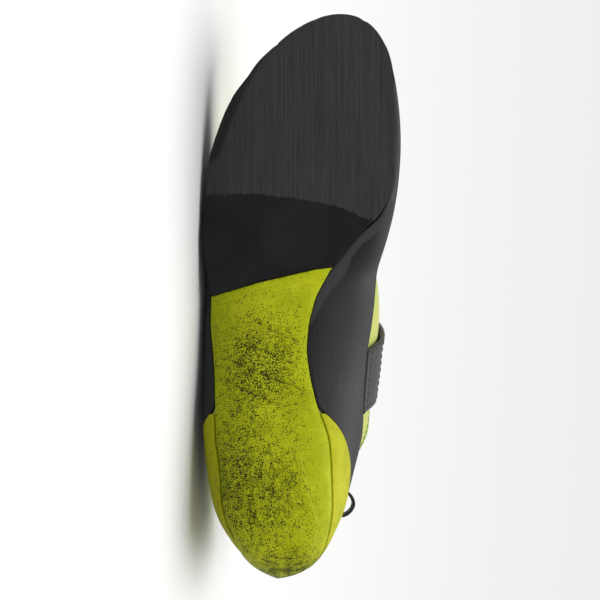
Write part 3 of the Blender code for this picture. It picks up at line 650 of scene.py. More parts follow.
def randRubber():
    # Thin rubber rand, calendered smooth, buffed grey where the glued edge of the sole meets it
    look = randLook
    material, tree, shader = newMaterial(
        "rand_rubber_calendered", look["rough"], IOR=1.52, Specular_IOR_Level=look["specular"]
    )
    coords = soleViewCoords(tree)
    cloud = addNode(
        tree, "ShaderNodeTexNoise", {"Vector": coords, "Scale": 0.05, "Detail": 4.0, "Roughness": 0.6}
    )
    skin = addNode(
        tree, "ShaderNodeTexNoise", {"Vector": coords, "Scale": 1.8, "Detail": 4.0, "Roughness": 0.65}
    )
    scuffPlace = addNode(
        tree, "ShaderNodeMapping",
        {"Vector": coords, "Rotation": (0, 0, math.radians(38)), "Scale": (1.6, 0.08, 0.3)}
    )
    scuff = addNode(
        tree, "ShaderNodeTexNoise", {"Vector": scuffPlace, "Scale": 1.0, "Detail": 5.0, "Roughness": 0.6}
    )
    way = addNode(tree, "ShaderNodeAttribute", attribute_name="buffWay")
    rag = addNode(
        tree, "ShaderNodeMath", {0: scuff, 1: 2.0, 2: way.outputs["Fac"]}, operation="MULTIPLY_ADD"
    )
    buff = clamped(tree, rag, 0.7, 1.5)
    base = addNode(
        tree, "ShaderNodeMix",
        {0: clamped(tree, cloud, 0.3, 0.7), 6: toLinear(look["black"]), 7: toLinear(look["blackLight"])},
        data_type="RGBA"
    )
    scuffFac = addNode(
        tree, "ShaderNodeMath", {0: clamped(tree, scuff, 0.56, 0.75), 1: 0.35}, operation="MULTIPLY"
    )
    wornAndCreaseShaded = addNode(
        tree, "ShaderNodeMix", {0: scuffFac, 6: mixed(base), 7: toLinear(look["wornAndCreaseShaded"])}, data_type="RGBA"
    )
    colour = addNode(
        tree, "ShaderNodeMix", {0: buff, 6: mixed(wornAndCreaseShaded), 7: toLinear(look["buffed"])}, data_type="RGBA"
    )
    tree.links.new(mixed(colour), shader.inputs["Base Color"])
    rough = addNode(tree, "ShaderNodeMapRange", {"Value": buff, "To Min": look["rough"], "To Max": 0.8})
    tree.links.new(rough.outputs[0], shader.inputs["Roughness"])
    bumpChain(tree, shader, ((skin, 0.04), (scuff, 0.05), (buff, -0.1)))
    return material


upperLook = {
    "lime": "#ccd36a", "limeDark": "#aab43c", "limeSoft": "#bec75a", "lining": "#6f7174",
    "liningLight": "#8b8d90", "rough": 0.68
}


def upperMicrofibre():
    # Microfibre with a fine embossed grain and a soft nap, lime outside, with a grey knitted lining inside
    look = upperLook
    material, tree, shader = newMaterial(
        "microfibre_embossed", look["rough"], IOR=1.5, Sheen_Weight=0.25, Sheen_Roughness=0.4
    )
    coords = soleViewCoords(tree)
    cell = addNode(
        tree, "ShaderNodeTexVoronoi", {"Vector": coords, "Scale": 1.1, "Randomness": 0.9},
        feature="SMOOTH_F1"
    )
    cloud = addNode(
        tree, "ShaderNodeTexNoise", {"Vector": coords, "Scale": 0.06, "Detail": 4.0, "Roughness": 0.6}
    )
    nap = addNode(
        tree, "ShaderNodeTexNoise", {"Vector": coords, "Scale": 2.2, "Detail": 4.0, "Roughness": 0.7}
    )
    fold = addNode(tree, "ShaderNodeAttribute", attribute_name="foldDepth")
    lining = addNode(tree, "ShaderNodeAttribute", attribute_name="liningSide")
    base = addNode(
        tree, "ShaderNodeMix",
        {0: clamped(tree, cloud, 0.3, 0.75), 6: toLinear(look["lime"]), 7: toLinear(look["limeSoft"])},
        data_type="RGBA"
    )
    # Painted shade: the lime darkens towards limeDark in the fold troughs, up to 70 percent at the deepest
    creaseShadeFac = addNode(
        tree, "ShaderNodeMath", {0: fold.outputs["Fac"], 1: 0.7}, operation="MULTIPLY", use_clamp=True
    )
    wornAndCreaseShaded = addNode(
        tree, "ShaderNodeMix", {0: creaseShadeFac, 6: mixed(base), 7: toLinear(look["limeDark"])},
        data_type="RGBA"
    )
    specks = addNode(
        tree, "ShaderNodeMath", {0: clamped(tree, nap, 0.62, 0.8), 1: 0.35}, operation="MULTIPLY"
    )
    speckled = addNode(
        tree, "ShaderNodeMix", {0: specks, 6: mixed(wornAndCreaseShaded), 7: toLinear(look["limeDark"])},
        data_type="RGBA"
    )
    knit = addNode(
        tree, "ShaderNodeMix", {0: nap, 6: toLinear(look["lining"]), 7: toLinear(look["liningLight"])},
        data_type="RGBA"
    )
    colour = addNode(
        tree, "ShaderNodeMix",
        {0: clamped(tree, lining.outputs["Fac"], 0.45, 0.55), 6: mixed(speckled), 7: mixed(knit)},
        data_type="RGBA"
    )
    tree.links.new(mixed(colour), shader.inputs["Base Color"])
    bumpChain(tree, shader, ((cell.outputs["Distance"], 0.1), (nap, 0.06)))
    return material


def wovenTape(name, dark, light, threadMm, rough, speck):
    # Polyester, woven, folded or knitted: matt, with a soft fuzz. Threads are drawn about twice their real
    # width, so that they show
    material, tree, shader = newMaterial(name, rough, IOR=1.5, Sheen_Weight=0.3, Sheen_Roughness=0.5)
    cloth = addNode(tree, "ShaderNodeUVMap", uv_map="clothMm")
    split = addNode(tree, "ShaderNodeSeparateXYZ", {"Vector": cloth})
    turn = math.pi / threadMm
    warp = addNode(
        tree, "ShaderNodeMath",
        {0: addNode(tree, "ShaderNodeMath", {0: split.outputs[0], 1: turn}, operation="MULTIPLY")},
        operation="SINE"
    )
    weft = addNode(
        tree, "ShaderNodeMath",
        {0: addNode(tree, "ShaderNodeMath", {0: split.outputs[1], 1: turn}, operation="MULTIPLY")},
        operation="SINE"
    )
    crossing = addNode(tree, "ShaderNodeMath", {0: warp, 1: weft}, operation="MULTIPLY")
    weave = addNode(tree, "ShaderNodeMath", {0: crossing, 1: 0.5, 2: 0.5}, operation="MULTIPLY_ADD")
    fuzz = addNode(
        tree, "ShaderNodeTexNoise", {"Vector": cloth, "Scale": 1.3, "Detail": 5.0, "Roughness": 0.7}
    )
    base = addNode(
        tree, "ShaderNodeMix", {0: weave, 6: toLinear(dark), 7: toLinear(light)}, data_type="RGBA"
    )
    speckFac = addNode(
        tree, "ShaderNodeMath", {0: clamped(tree, fuzz, 0.6, 0.72), 1: speck}, operation="MULTIPLY"
    )
    colour = addNode(
        tree, "ShaderNodeMix", {0: speckFac, 6: mixed(base), 7: toLinear("#8d8d8b")}, data_type="RGBA"
    )
    tree.links.new(mixed(colour), shader.inputs["Base Color"])
    bumpChain(tree, shader, ((weave, 0.16), (fuzz, 0.08)))
    return material


def threadNylon(name, colour):
    # Bonded nylon sewing thread: a tight smooth twist with a faint shine; a painted sheen mixes light grey
    # into its colour along the twist
    material, tree, shader = newMaterial(name, 0.45, IOR=1.53)
    coords = soleViewCoords(tree)
    twist = addNode(tree, "ShaderNodeTexNoise", {"Vector": coords, "Scale": 3.0, "Detail": 2.0})
    # Painted sheen: the thread colour goes up to a quarter of the way towards light grey, by the twist
    # noise
    shade = addNode(
        tree, "ShaderNodeMix", {0: twist, 6: toLinear(colour), 7: toLinear("#8a8a86")}, data_type="RGBA"
    )
    low = addNode(tree, "ShaderNodeMath", {0: twist, 1: 0.25}, operation="MULTIPLY")
    tree.links.new(low.outputs[0], shade.inputs[0])
    tree.links.new(mixed(shade), shader.inputs["Base Color"])
    bumpChain(tree, shader, ((twist, 0.05),))
    return material


def insoleFelt():
    # Needled felt insole board: grey, matt, with short stray fibres
    material, tree, shader = newMaterial("insole_felt_needled", 0.95, IOR=1.45, Sheen_Weight=0.2)
    coords = soleViewCoords(tree)
    fibre = addNode(
        tree, "ShaderNodeTexNoise",
        {"Vector": coords, "Scale": 1.2, "Detail": 6.0, "Roughness": 0.75, "Distortion": 1.5}
    )
    colour = addNode(
        tree, "ShaderNodeMix",
        {0: clamped(tree, fibre, 0.3, 0.7), 6: toLinear("#3c3d40"), 7: toLinear("#67686b")},
        data_type="RGBA"
    )
    tree.links.new(mixed(colour), shader.inputs["Base Color"])
    bumpChain(tree, shader, ((fibre, 0.25),))
    return material


print("stage 3: materials ready")


# Mesh helpers
def addPiece(name, bm, material):
    mesh = bpy.data.meshes.new(name)
    bm.to_mesh(mesh)
    bm.free()
    mesh.materials.clear()
    if material:
        mesh.materials.append(material)
    piece = bpy.data.objects.new(name, mesh)
    bpy.context.scene.collection.objects.link(piece)
    return piece


def makePlain(piece):  # the evaluated mesh takes the modifiers' place
    bpy.context.view_layer.update()
    graph = bpy.context.evaluated_depsgraph_get()
    mesh = bpy.data.meshes.new_from_object(
        piece.evaluated_get(graph), preserve_all_data_layers=True, depsgraph=graph
    )
    old = piece.data
    piece.modifiers.clear()
    piece.data = mesh
    bpy.data.meshes.remove(old)
    mesh.shade_smooth()
    return piece


def subdivided(piece, levels):
    modifier = piece.modifiers.new("smooth", "SUBSURF")
    modifier.levels = levels
    modifier.render_levels = levels
    return makePlain(piece)


def creaseSharp(bm, degrees, value):
    layer = bm.edges.layers.float.get("crease_edge") or bm.edges.layers.float.new("crease_edge")
    for edge in bm.edges:
        if len(edge.link_faces) == 2 and edge.calc_face_angle(0) > math.radians(degrees):
            edge[layer] = value


def smoothCopy(node, name, material, levels, sharp, crease):  # a rounded copy of a solid
    bm = bmesh.new()
    bm.from_mesh(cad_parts[node].data)
    for layer in list(bm.loops.layers.uv):
        bm.loops.layers.uv.remove(layer)
    bmesh.ops.remove_doubles(bm, verts=bm.verts, dist=2e-5)
    bmesh.ops.join_triangles(
        bm, faces=bm.faces, angle_face_threshold=math.radians(sharp),
        angle_shape_threshold=math.radians(60)
    )
    creaseSharp(bm, sharp, crease)
    return subdivided(addPiece(name, bm, material), levels)


def points3(piece):
    values = np.empty(len(piece.data.vertices) * 3, np.float32)
    piece.data.vertices.foreach_get("co", values)
    return values.reshape(-1, 3).astype(float)


def setPoints(piece, points):
    piece.data.vertices.foreach_set("co", np.asarray(points, np.float32).ravel())
    piece.data.update()


def setValue(piece, name, values):
    attribute = piece.data.attributes.get(name) or piece.data.attributes.new(name, "FLOAT", "POINT")
    attribute.data.foreach_set("value", np.asarray(values, np.float32))


def wayInside(points, outline):  # distance to a closed outline on the sole view, positive inside it
    a = np.array([mark(*p) for p in outline])
    b = np.roll(a, -1, axis=0)
    p = points[:, None, :2]
    span = b - a
    k = np.clip(((p - a) * span).sum(-1) / (span * span).sum(-1), 0, 1)
    near = np.sqrt((((a + k[..., None] * span) - p) ** 2).sum(-1)).min(1)
    up = (a[:, 1] > p[..., 1]) != (b[:, 1] > p[..., 1])
    left = p[..., 0] < (b[:, 0] - a[:, 0]) * (p[..., 1] - a[:, 1]) / (b[:, 1] - a[:, 1] + 1e-12) + a[:, 0]
    return np.where((up & left).sum(1) % 2 == 1, near, -near)


def patch(points, x, y, wide, high):  # 1 at a place on the sole view, falling softly to 0
    u, v = mark(x, y)
    return np.exp(
        -((points[:, 0] - u) / (wide * stepMm)) ** 2 - ((points[:, 1] - v) / (high * stepMm)) ** 2
    )


# A solid between two grids of points, with millimetres along the cloth as UV
def gridSolid(name, inner, outer, material, crease=0.6):
    bm = bmesh.new()
    uvLayer = bm.loops.layers.uv.new("clothMm")
    rows = len(inner)
    steps = len(inner[0])
    grids = [[[bm.verts.new(toWorld(p)) for p in row] for row in grid] for grid in (inner, outer)]
    middle = steps // 2
    along = [0.0]
    for i in range(rows):
        along.append(
            along[-1] + float(
                np.linalg.norm(np.subtract(outer[(i + 1) % rows][middle], outer[i][middle]))
            )
        )
    across = [[0.0] for row in outer]
    for row, ways in zip(outer, across):
        for j in range(steps - 1):
            ways.append(ways[-1] + float(np.linalg.norm(np.subtract(row[j + 1], row[j]))))

    def face(corners):
        made = bm.faces.new([grids[g][i % rows][j] for g, i, j in corners])
        for loop, (g, i, j) in zip(made.loops, corners):
            loop[uvLayer].uv = (along[i] + g * 0.7, across[i % rows][j] + g * 0.7)

    for i in range(rows - 1):
        for j in range(steps - 1):
            for g in (0, 1):
                face(((g, i, j), (g, i + 1, j), (g, i + 1, j + 1), (g, i, j + 1)))
        for j in (0, steps - 1):
            face(((0, i, j), (0, i + 1, j), (1, i + 1, j), (1, i, j)))
    for i in (0, rows - 1):
        for j in range(steps - 1):
            face(((0, i, j), (0, i, j + 1), (1, i, j + 1), (1, i, j)))
    bmesh.ops.recalc_face_normals(bm, faces=bm.faces)
    creaseSharp(bm, 50, crease)
    return subdivided(addPiece(name, bm, material), 1)


def finishPiece(piece, node, replace=True):
    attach(piece, "root")
    if replace:
        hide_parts(node)
    print("  piece", piece.name, len(piece.data.polygons), "faces")


# Upper: the lasted shell, with flex creases at listed places
foldDepths = {"toeFlex": 0.75, "waist": 0.6, "heel": 0.5}
foldLines = (  # rib and share up the rib along each trough, its depth, its half width in mm
    (((14.1, 0.80), (14.5, 0.90), (14.4, 1.0), (29.7, 0.93), (29.9, 0.84)), foldDepths["toeFlex"], 2.2),
    (((15.2, 0.78), (15.6, 0.88), (15.5, 1.0), (28.6, 0.92), (28.8, 0.82)), foldDepths["toeFlex"], 1.9),
    (((16.3, 0.80), (16.5, 0.92), (16.4, 1.0), (27.7, 0.90)), 0.5, 1.7),
    (((13.2, 0.76), (13.5, 0.84), (13.8, 0.92)), foldDepths["waist"], 1.8),
    (((30.9, 0.78), (30.4, 0.86), (30.6, 0.93)), foldDepths["waist"], 1.9),
    (((37.6, 0.62), (36.7, 0.66), (35.9, 0.71), (35.3, 0.77)), foldDepths["waist"], 2.3),
    (((38.6, 0.66), (37.8, 0.71), (37.0, 0.77)), foldDepths["heel"], 2.0),
    (((5.9, 0.66), (6.9, 0.69), (7.8, 0.74), (8.5, 0.80)), foldDepths["waist"], 2.3),
    (((4.8, 0.70), (5.6, 0.74), (6.4, 0.80)), foldDepths["heel"], 2.0),
    (((42.4, 0.77), (43.2, 0.76), (0.2, 0.765), (1.3, 0.77)), foldDepths["heel"], 2.1),
    (((11.6, 0.68), (12.2, 0.74), (12.6, 0.81)), 0.45, 1.6),
    (((33.4, 0.60), (32.8, 0.66), (32.2, 0.71)), 0.45, 1.7),
)


def lineOnLast(places, out, steps=6):  # points on the last along a run of places
    points = []
    for (s0, t0), (s1, t1) in zip(places, places[1:]):
        if t0 >= 0.99:  # on over the ridge, to the other side's rib
            s0 = ribCount - s0
        elif s0 - s1 > ribCount / 2:  # on past the heel
            s1 = s1 + ribCount
        points += [
            point(s0 + (s1 - s0) * k / steps, t0 + (t1 - t0) * k / steps, out) for k in range(steps)
        ]
    points.append(point(places[-1][0], places[-1][1], out))
    return np.array(points)


def wayToLine(points, line):
    best = np.full(len(points), 1e9)
    for a, b in zip(line, line[1:]):
        span = b - a
        k = np.clip((points - a) @ span / max(span @ span, 1e-9), 0, 1)
        best = np.minimum(best, np.linalg.norm(points - a - k[:, None] * span, axis=1))
    return best


def outwards(points):  # away from the middle of the section at each place
    side = ringValues[:toeRib + 1]
    y = side[:, ringColumns.index("y")]
    order = np.argsort(y, kind="stable")
    x = np.interp(points[:, 1], y[order], side[order, ringColumns.index("x")])
    z = np.interp(
        points[:, 1], y[order],
        (side[order, ringColumns.index("floor")] + side[order, ringColumns.index("ridge")]) / 2
    )
    heelMiddle = ringValues[heelSideRib, ringColumns.index("y")]
    toeMiddle = ringValues[toeRib, ringColumns.index("y")]
    ahead = points[:, 1] - np.clip(points[:, 1], heelMiddle, toeMiddle)
    way = np.stack([points[:, 0] - x, ahead, points[:, 2] - z], axis=1)
    return way / np.linalg.norm(way, axis=1)[:, None]


def makeUpper():
    piece = smoothCopy("upper", "upper_shell", upperMicrofibre(), 2, 50, 0.7)
    points = toDesign(points3(piece))
    depth = np.zeros(len(points))
    for places, deep, half in foldLines:
        way = wayToLine(points, lineOnLast(places, upperWall))
        depth += deep * np.exp(-(way / half) ** 2) - 0.3 * deep * np.exp(
            -((way - 2.1 * half) / half) ** 2
        )
    out = outwards(points)
    normalsNow = np.empty(len(points) * 3, np.float32)
    piece.data.vertices.foreach_get("normal", normalsNow)
    facing = ((normalsNow.reshape(-1, 3) @ layTurn) * out).sum(1)
    setPoints(piece, toWorld(points - out * depth[:, None]))
    # foldDepth also sets the painted crease shade in the upper's colour
    setValue(piece, "foldDepth", np.clip(depth, 0, 1))
    setValue(piece, "liningSide", facing < -0.15)
    finishPiece(piece, "upper")
    return piece


# Soles, heel cup and rand
groundOutline = (
    (150, 197), (206, 195), (241, 194), (269, 195), (295, 198), (318, 201), (333, 205), (348, 210),
    (356, 214), (368, 219), (400, 221), (460, 200), (460, -40), (150, -40)
)
stripOutline = (
    (190, 175), (218, 160), (231, 124), (245, 93), (262, 64), (283, 38), (303, 24), (300, 0), (240, 0),
    (190, 100)
)
buffOutline = (
    (398, 200), (388, 226), (376, 235), (362, 245), (353, 257), (348, 272), (333, 290), (318, 313),
    (312, 327), (306, 322), (314, 298), (322, 283), (330, 267), (336, 258), (345, 248), (357, 237),
    (371, 227), (382, 218), (391, 200)
)
archLinesOutline = ((226, 330), (300, 322), (300, 352), (296, 408), (240, 408), (226, 380))
heelLinesOutline = ((262, 556), (315, 556), (308, 574), (270, 574))


def makeOutsole():
    piece = smoothCopy("outsole_forefoot", "outsole_sheet", outsoleRubber(), 2, 42, 0.85)
    seen = toSoleView(points3(piece))
    setValue(piece, "groundWay", np.clip(wayInside(seen, groundOutline), -12, 12))
    setValue(piece, "stripWay", np.clip(wayInside(seen, stripOutline), -12, 12))
    finishPiece(piece, "outsole_forefoot")


def flecks(piece, base):
    seen = toSoleView(points3(piece))
    level = base + 0.9 * patch(
        seen, 262, 360, 46, 52
    ) + 0.75 * patch(seen, 272, 490, 48, 62) + 0.5 * patch(seen, 232, 470, 26, 90)
    level += 0.35 * patch(seen, 292, 560, 60, 30) - 0.5 * patch(seen, 338, 440, 24, 120)
    setValue(piece, "fleckLevel", np.clip(level, 0, 1.4))
    # Darker blotches in the lime: across the heel end and in a narrow band on the left by the heel
    setValue(
        piece, "darkBlotchLevel",
        np.clip(1.1 * patch(seen, 292, 578, 58, 17) + 0.25 * patch(seen, 225, 500, 12, 60), 0, 0.9)
    )
    return seen


def makeArchSole():
    material = limeRubber(
        "sole_rubber_moulded", limeLook["dark"], limeLook["mid"], limeLook["light"], True
    )
    piece = smoothCopy("sole_arch_and_heel", "arch_and_heel_sole", material, 2, 24, 0.75)
    seen = flecks(piece, 0.55)
    centre = np.array(mark(288, 500))
    setValue(piece, "archLines", np.clip(wayInside(seen, archLinesOutline), -4, 4))
    setValue(piece, "heelLines", np.clip(wayInside(seen, heelLinesOutline), -4, 4))
    setValue(piece, "heelArc", np.linalg.norm(seen[:, :2] - centre, axis=1))
    finishPiece(piece, "sole_arch_and_heel")


def makeHeelCup():
    material = limeRubber("heel_rubber_moulded", cupLook["dark"], cupLook["mid"], cupLook["light"], False)
    piece = smoothCopy("heel_cup", "heel_cup_shell", material, 2, 50, 0.7)
    flecks(piece, 0.25)
    finishPiece(piece, "heel_cup")


def makeRand():
    piece = smoothCopy("rand", "rand_band", randRubber(), 2, 50, 0.75)
    setValue(piece, "buffWay", np.clip(wayInside(toSoleView(points3(piece)), buffOutline), -10, 10))
    finishPiece(piece, "rand")


def makeInsole():
    piece = smoothCopy("insole", "insole_board", insoleFelt(), 1, 50, 0.8)
    finishPiece(piece, "insole")


# Strap: hook-and-loop webbing over the instep
strapLook = {
    "thick": 2.0, "lift": 0.8, "width": 30.0, "thread": 0.9, "edgeIn": 2.2, "rows": 72, "steps": 12,
    "dark": "#262627", "light": "#363637"
}


def strapPoint(down, shareAcross, out):  # down runs from the big-toe side rand, -1, to the little-toe side
    rows = np.array(strapPath)
    along = float(np.interp(down, rows[:, 0], rows[:, 1]))
    y = lastLength * along / 100 + strapLook["width"] * (shareAcross - 0.5)
    s = sideRib(y, "med" if down < 0 else "lat")
    foot = alongRib(s, randEdge(s), partGap)
    return point(s, 1 - abs(down) * (1 - foot), out)


def makeStrap():
    low = upperWall + strapLook["lift"]
    rows = strapLook["rows"]
    edge = 0.08
    steps = strapLook["steps"]
    shares = [j / steps for j in range(steps + 1)]
    inner = []
    outer = []
    for i in range(rows + 1):
        down = strapPath[0][0] + (strapPath[-1][0] - strapPath[0][0]) * i / rows
        inner.append([strapPoint(down, a, low) for a in shares])
        outer.append(
            [strapPoint(down, a, low + strapLook["thick"] * (0.9 if edge < a < 1 - edge else 1.0))
            for a in shares]
        )
    piece = gridSolid(
        "instep_strap", inner, outer,
        wovenTape(
            "webbing_polyester_woven", strapLook["dark"], strapLook["light"], strapLook["thread"], 0.85,
            0.5
        )
    )
    length = sum(
        np.linalg.norm(np.subtract(outer[i + 1][steps // 2], outer[i][steps // 2])) for i in range(rows)
    ) / 1000
    finishPiece(piece, "strap")
    return piece, length


# Tongue: padded mesh cloth, sewn across in soft channels
tongueLook = {
    "gap": 0.8, "thick": 2.8, "channelMm": 13.0, "from": 0.325, "to": 0.64, "half": 0.31, "narrows": 0.09,
    "seam": 0.35, "rows": 96, "steps": 10
}


def makeTongue():
    inner = []
    outer = []
    rows = tongueLook["rows"]
    steps = tongueLook["steps"]
    seam = tongueLook["seam"]
    for i in range(rows + 1):
        k = i / rows
        along = lastLength * (tongueLook["from"] + (tongueLook["to"] - tongueLook["from"]) * k)
        half = ballWidth * (
            tongueLook["half"] - tongueLook["narrows"] * k
        ) * math.sqrt(max(0.0, 1 - 0.5 * max(0.0, 1 - k * 8) ** 2))
        line = []
        for side, sign in (("lat", 1), ("med", -1)):
            s = sideRib(along, side)
            places = [(s, 1 - half * j / steps / curve(s)["length"], j / steps) for j in range(steps + 1)]
            line = places[::-1] + line if sign > 0 else line + places[1:]
        sewn = abs(math.sin(math.pi * along / tongueLook["channelMm"])) ** 0.5
        puff = [seam + (1 - seam) * sewn * (1 - j ** 6) for s, t, j in line]
        middle = -tongueLook["gap"] - tongueLook["thick"] / 2
        outer.append(
            [point(s, t, middle + tongueLook["thick"] / 2 * p) for (s, t, j), p in zip(line, puff)]
        )
        inner.append(
            [point(s, t, middle - tongueLook["thick"] / 2 * p) for (s, t, j), p in zip(line, puff)]
        )
    piece = gridSolid(
        "padded_tongue", inner, outer,
        wovenTape("tongue_mesh_knitted", "#1d1d1f", "#37373a", 1.1, 0.92, 0.15), crease=0.2
    )
    finishPiece(piece, "tongue")
    return piece


# Binding and pull loop
bindingLook = {
    "width": 3.0, "under": -0.4, "over": 2.2, "round": 0.9, "dark": "#6fb31c", "light": "#9bd636"
}


def makeBinding():
    stations = [i / 4 for i in range(-4 * bindingEnd, 4 * bindingEnd + 1)]
    inner = []
    outer = []
    for s in stations:
        base = rimEdge(s)
        for grid, level, sign in ((inner, bindingLook["under"], 1), (outer, bindingLook["over"], -1)):
            row = []
            for k in (0, 0.12, 0.3, 0.5, 0.7, 0.88, 1):
                rounding = sign * bindingLook["round"] * abs(2 * k - 1) ** 2.5
                row.append(
                    point(s, alongRib(s, base, partGap + bindingLook["width"] * k), level + rounding)
                )
            grid.append(row)
    piece = gridSolid(
        "edge_binding", inner, outer,
        wovenTape("tape_polyester_folded", bindingLook["dark"], bindingLook["light"], 0.7, 0.6, 0.0),
        crease=0.1
    )
    finishPiece(piece, "collar_binding")


loopLook = {
    "length": 14.0, "reach": 7.2, "web": 7.0, "wall": 1.4, "underRim": 1.0, "rows": 36, "steps": 6,
    "tackOff": 9.5
}


def loopRib(y):
    centre = lastLength * loopAlong
    if y >= centre:
        return sideRib(y, "med")
    reach = curve(ribCount - heelSideRib)["v"]["reach"] * 0.85
    return ribCount - heelSideRib + math.degrees(math.atan2(centre - y, reach)) / 30


def makePullLoop():
    base = upperWall + partGap
    inner = []
    outer = []
    rows = loopLook["rows"]
    steps = loopLook["steps"]
    for i in range(rows + 1):
        k = math.pi * i / rows
        for grid, shrink in ((inner, loopLook["wall"]), (outer, 0.0)):
            y = lastLength * loopAlong - (loopLook["length"] / 2 - shrink) * math.cos(k)
            s = loopRib(y)
            high = alongRib(s, rimEdge(s), -loopLook["underRim"])
            out = base + (loopLook["reach"] - shrink) * math.sin(k)
            grid.append(
                [point(s, alongRib(s, high, -loopLook["web"] * j / steps), out) for j in range(steps + 1)]
            )
    piece = gridSolid(
        "heel_pull_loop", inner, outer,
        wovenTape("loop_webbing_woven", "#1f1f20", "#333334", 0.8, 0.85, 0.2)
    )
    finishPiece(piece, "pull_loop")


# Stitches: one small rounded thread instanced along each seam
stitchLook = {"length": 2.2, "pitch": 3.1, "thread": 0.5, "black": "#202022", "lime": "#8c9a22"}


def stitchTree():
    tree = bpy.data.node_groups.new("stitch_rows", "GeometryNodeTree")
    tree.interface.new_socket(name="Geometry", in_out="INPUT", socket_type="NodeSocketGeometry")
    for name in ("Stitch length", "Pitch", "Thread"):
        tree.interface.new_socket(name=name, in_out="INPUT", socket_type="NodeSocketFloat")
    tree.interface.new_socket(name="Material", in_out="INPUT", socket_type="NodeSocketMaterial")
    tree.interface.new_socket(name="Geometry", in_out="OUTPUT", socket_type="NodeSocketGeometry")
    given = addNode(tree, "NodeGroupInput")
    path = addNode(tree, "GeometryNodeMeshToCurve", {"Mesh": given.outputs["Geometry"]})
    spaced = addNode(tree, "GeometryNodeResampleCurve", {"Curve": path}, mode="LENGTH")
    tree.links.new(given.outputs["Pitch"], spaced.inputs["Length"])
    tangent = addNode(tree, "GeometryNodeInputTangent")
    turned = addNode(tree, "FunctionNodeAlignRotationToVector", {"Vector": tangent}, axis="Z")
    thread = addNode(tree, "GeometryNodeMeshUVSphere", {"Segments": 7, "Rings": 6, "Radius": 0.5})
    size = addNode(
        tree, "ShaderNodeCombineXYZ",
        {0: given.outputs["Thread"], 1: given.outputs["Thread"], 2: given.outputs["Stitch length"]}
    )
    placed = addNode(
        tree, "GeometryNodeInstanceOnPoints",
        {"Points": spaced, "Instance": thread, "Rotation": turned, "Scale": size}
    )
    real = addNode(tree, "GeometryNodeRealizeInstances", {"Geometry": placed})
    painted = addNode(
        tree, "GeometryNodeSetMaterial", {"Geometry": real, "Material": given.outputs["Material"]}
    )
    addNode(tree, "NodeGroupOutput", {"Geometry": painted})
    return tree


def sew(name, rows, tree, material, node):
    bm = bmesh.new()
    for row in rows:
        verts = [bm.verts.new(p) for p in toWorld(np.array(row))]
        for a, b in zip(verts, verts[1:]):
            bm.edges.new((a, b))
    piece = addPiece(name, bm, material)
    modifier = piece.modifiers.new("stitch_rows", "NODES")
    modifier.node_group = tree
    sockets = {item.name: item.identifier for item in tree.interface.items_tree if item.in_out == "INPUT"}
    modifier[sockets["Stitch length"]] = stitchLook["length"] / 1000
    modifier[sockets["Pitch"]] = stitchLook["pitch"] / 1000
    modifier[sockets["Thread"]] = stitchLook["thread"] / 1000
    modifier[sockets["Material"]] = material
    makePlain(piece)
    finishPiece(piece, node, replace=False)


def onSurface(points, piece, lift):  # the points drawn onto the finished piece, then lifted
    tree = BVHTree.FromPolygons(
        [v.co[:] for v in piece.data.vertices], [p.vertices[:] for p in piece.data.polygons]
    )
    placed = []
    for p in toWorld(np.array(points)):
        near, facing, _, _ = tree.find_nearest(Vector(p))
        out = Vector(p) - near
        way = facing if out.length < 1e-7 or out.dot(facing) > 0 else -facing
        placed.append(near + way * lift / 1000)
    return toDesign(np.array([p[:] for p in placed]))


def makeStitches(upper, strap):
    tree = stitchTree()
    black = threadNylon("thread_nylon_black", stitchLook["black"])
    lime = threadNylon("thread_nylon_lime", stitchLook["lime"])
    collarRows = []
    for drop in (2.4, 5.0):
        row = [
            point(i / 4, alongRib(i / 4, rimEdge(i / 4), -drop), upperWall + 1.0) for i in range(-42, 43)
        ]
        collarRows.append(onSurface(row, upper, 0.12))
    sew("collar_stitches", collarRows, tree, lime, "upper")
    top = upperWall + strapLook["lift"] + strapLook["thick"] + 1.0
    downs = np.linspace(strapPath[0][0] * 0.97, strapPath[-1][0] * 0.97, 90)
    inset = strapLook["edgeIn"] / strapLook["width"]
    strapRows = [[strapPoint(d, a, top) for d in downs] for a in (inset, 1 - inset)]
    for end in (-0.95, -0.80, 0.62, 0.76):
        strapRows.append([strapPoint(end, a, top) for a in np.linspace(inset, 1 - inset, 14)])
    sew("strap_stitches", [onSurface(row, strap, 0.1) for row in strapRows], tree, black, "strap")
    loopRows = []
    for y in (-loopLook["tackOff"], loopLook["tackOff"]):
        centre = lastLength * loopAlong + y
        s = loopRib(centre)
        high = alongRib(s, rimEdge(s), -loopLook["underRim"])
        row = [point(s, alongRib(s, high, -loopLook["web"] * j / 8), upperWall + 1.0) for j in range(9)]
        loopRows.append(onSurface(row, upper, 0.12))
    sew("loop_bartacks", loopRows, tree, black, "pull_loop")


upperPiece = makeUpper()
makeOutsole()
makeArchSole()
makeHeelCup()
makeRand()
makeInsole()
print("stage 4: shells and soles")
strapPiece, strapLength = makeStrap()
tonguePiece = makeTongue()
makeBinding()
makePullLoop()
print("stage 5: strap, tongue and trim, strap length", round(strapLength, 4))
makeStitches(upperPiece, strapPiece)
print("stage 6: stitches")


# Floor, light and camera
stageLook = {
    "floor": "#f6f6f5", "world": 0.42, "sun": 1.75, "sunWide": 60, "sunTilt": -24, "key": 3.0, "half": 30,
    "away": 1.3, "sensor": 36.0
}


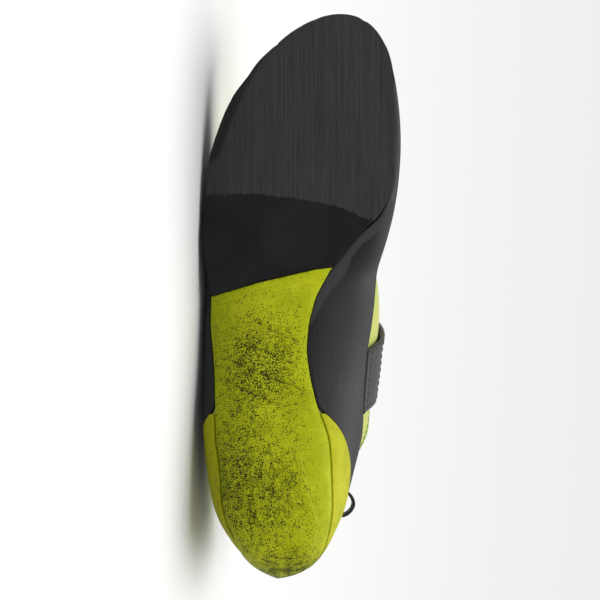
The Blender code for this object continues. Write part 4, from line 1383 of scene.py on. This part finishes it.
def makeFloor():
    # Plain paper sweep, matt white
    material, tree, shader = newMaterial("backdrop_paper_matt", 0.9)
    paper = addNode(tree, "ShaderNodeTexNoise", {"Scale": 3.0, "Detail": 2.0})
    colour = addNode(
        tree, "ShaderNodeMix", {0: paper, 6: toLinear(stageLook["floor"]), 7: toLinear("#fafafa")},
        data_type="RGBA"
    )
    tree.links.new(mixed(colour), shader.inputs["Base Color"])
    bm = bmesh.new()
    half = stageLook["half"]
    corners = [
        bm.verts.new((x, y, 0)) for x, y in ((-half, -half), (half, -half), (half, half), (-half, half))
    ]
    bm.faces.new(corners)
    floor = addPiece("studio_floor", bm, material)


def addLight(name, place, size, watts, target):
    lamp = bpy.data.lights.new(name, "AREA")
    lamp.shape = "RECTANGLE"
    lamp.size, lamp.size_y = size
    lamp.energy = watts
    lamp.color = (1.0, 1.0, 1.0)
    light = bpy.data.objects.new(name, lamp)
    light.location = place
    light.rotation_euler = (Vector(target) - Vector(place)).to_track_quat("-Z", "Y").to_euler()
    bpy.context.scene.collection.objects.link(light)


def addSun():  # a wide soft light from overhead, a little to the front, even all over the floor
    lamp = bpy.data.lights.new("overhead_soft", "SUN")
    lamp.energy = stageLook["sun"]
    lamp.angle = math.radians(stageLook["sunWide"])
    light = bpy.data.objects.new("overhead_soft", lamp)
    light.rotation_euler = (math.radians(stageLook["sunTilt"]), 0, 0)
    bpy.context.scene.collection.objects.link(light)


def makeCamera():
    right, up, back = [layTurn @ axis for axis in viewTurn]
    target = toWorld(np.array([0.0, 124.8, 3.0]))
    place = target + back * stageLook["away"]
    camera = bpy.data.objects.new("sole_camera", bpy.data.cameras.new("sole_camera"))
    rows = [(right[i], up[i], back[i], place[i]) for i in range(3)]
    camera.matrix_world = Matrix((*rows, (0, 0, 0, 1)))
    camera.data.sensor_width = stageLook["sensor"]
    camera.data.lens = stageLook["sensor"] * stageLook["away"] * 1000 / (stepsAcross * stepMm)
    camera.data.clip_start = 0.05
    camera.data.clip_end = 200.0
    bpy.context.scene.collection.objects.link(camera)
    bpy.context.scene.camera = camera


def makeWorld():
    world = bpy.data.worlds.new("studio")
    world.use_nodes = True
    background = world.node_tree.nodes["Background"]
    background.inputs["Color"].default_value = (1, 1, 1, 1)
    background.inputs["Strength"].default_value = stageLook["world"]
    bpy.context.scene.world = world
    bpy.context.scene.view_settings.view_transform = "Standard"


makeFloor()
addSun()
addLight("key_from_above", (-0.05, -0.5, 0.9), (0.8, 0.5), stageLook["key"], (0.0, 0.0, 0.05))
makeCamera()
makeWorld()
print("stage 7: stage, light and camera")
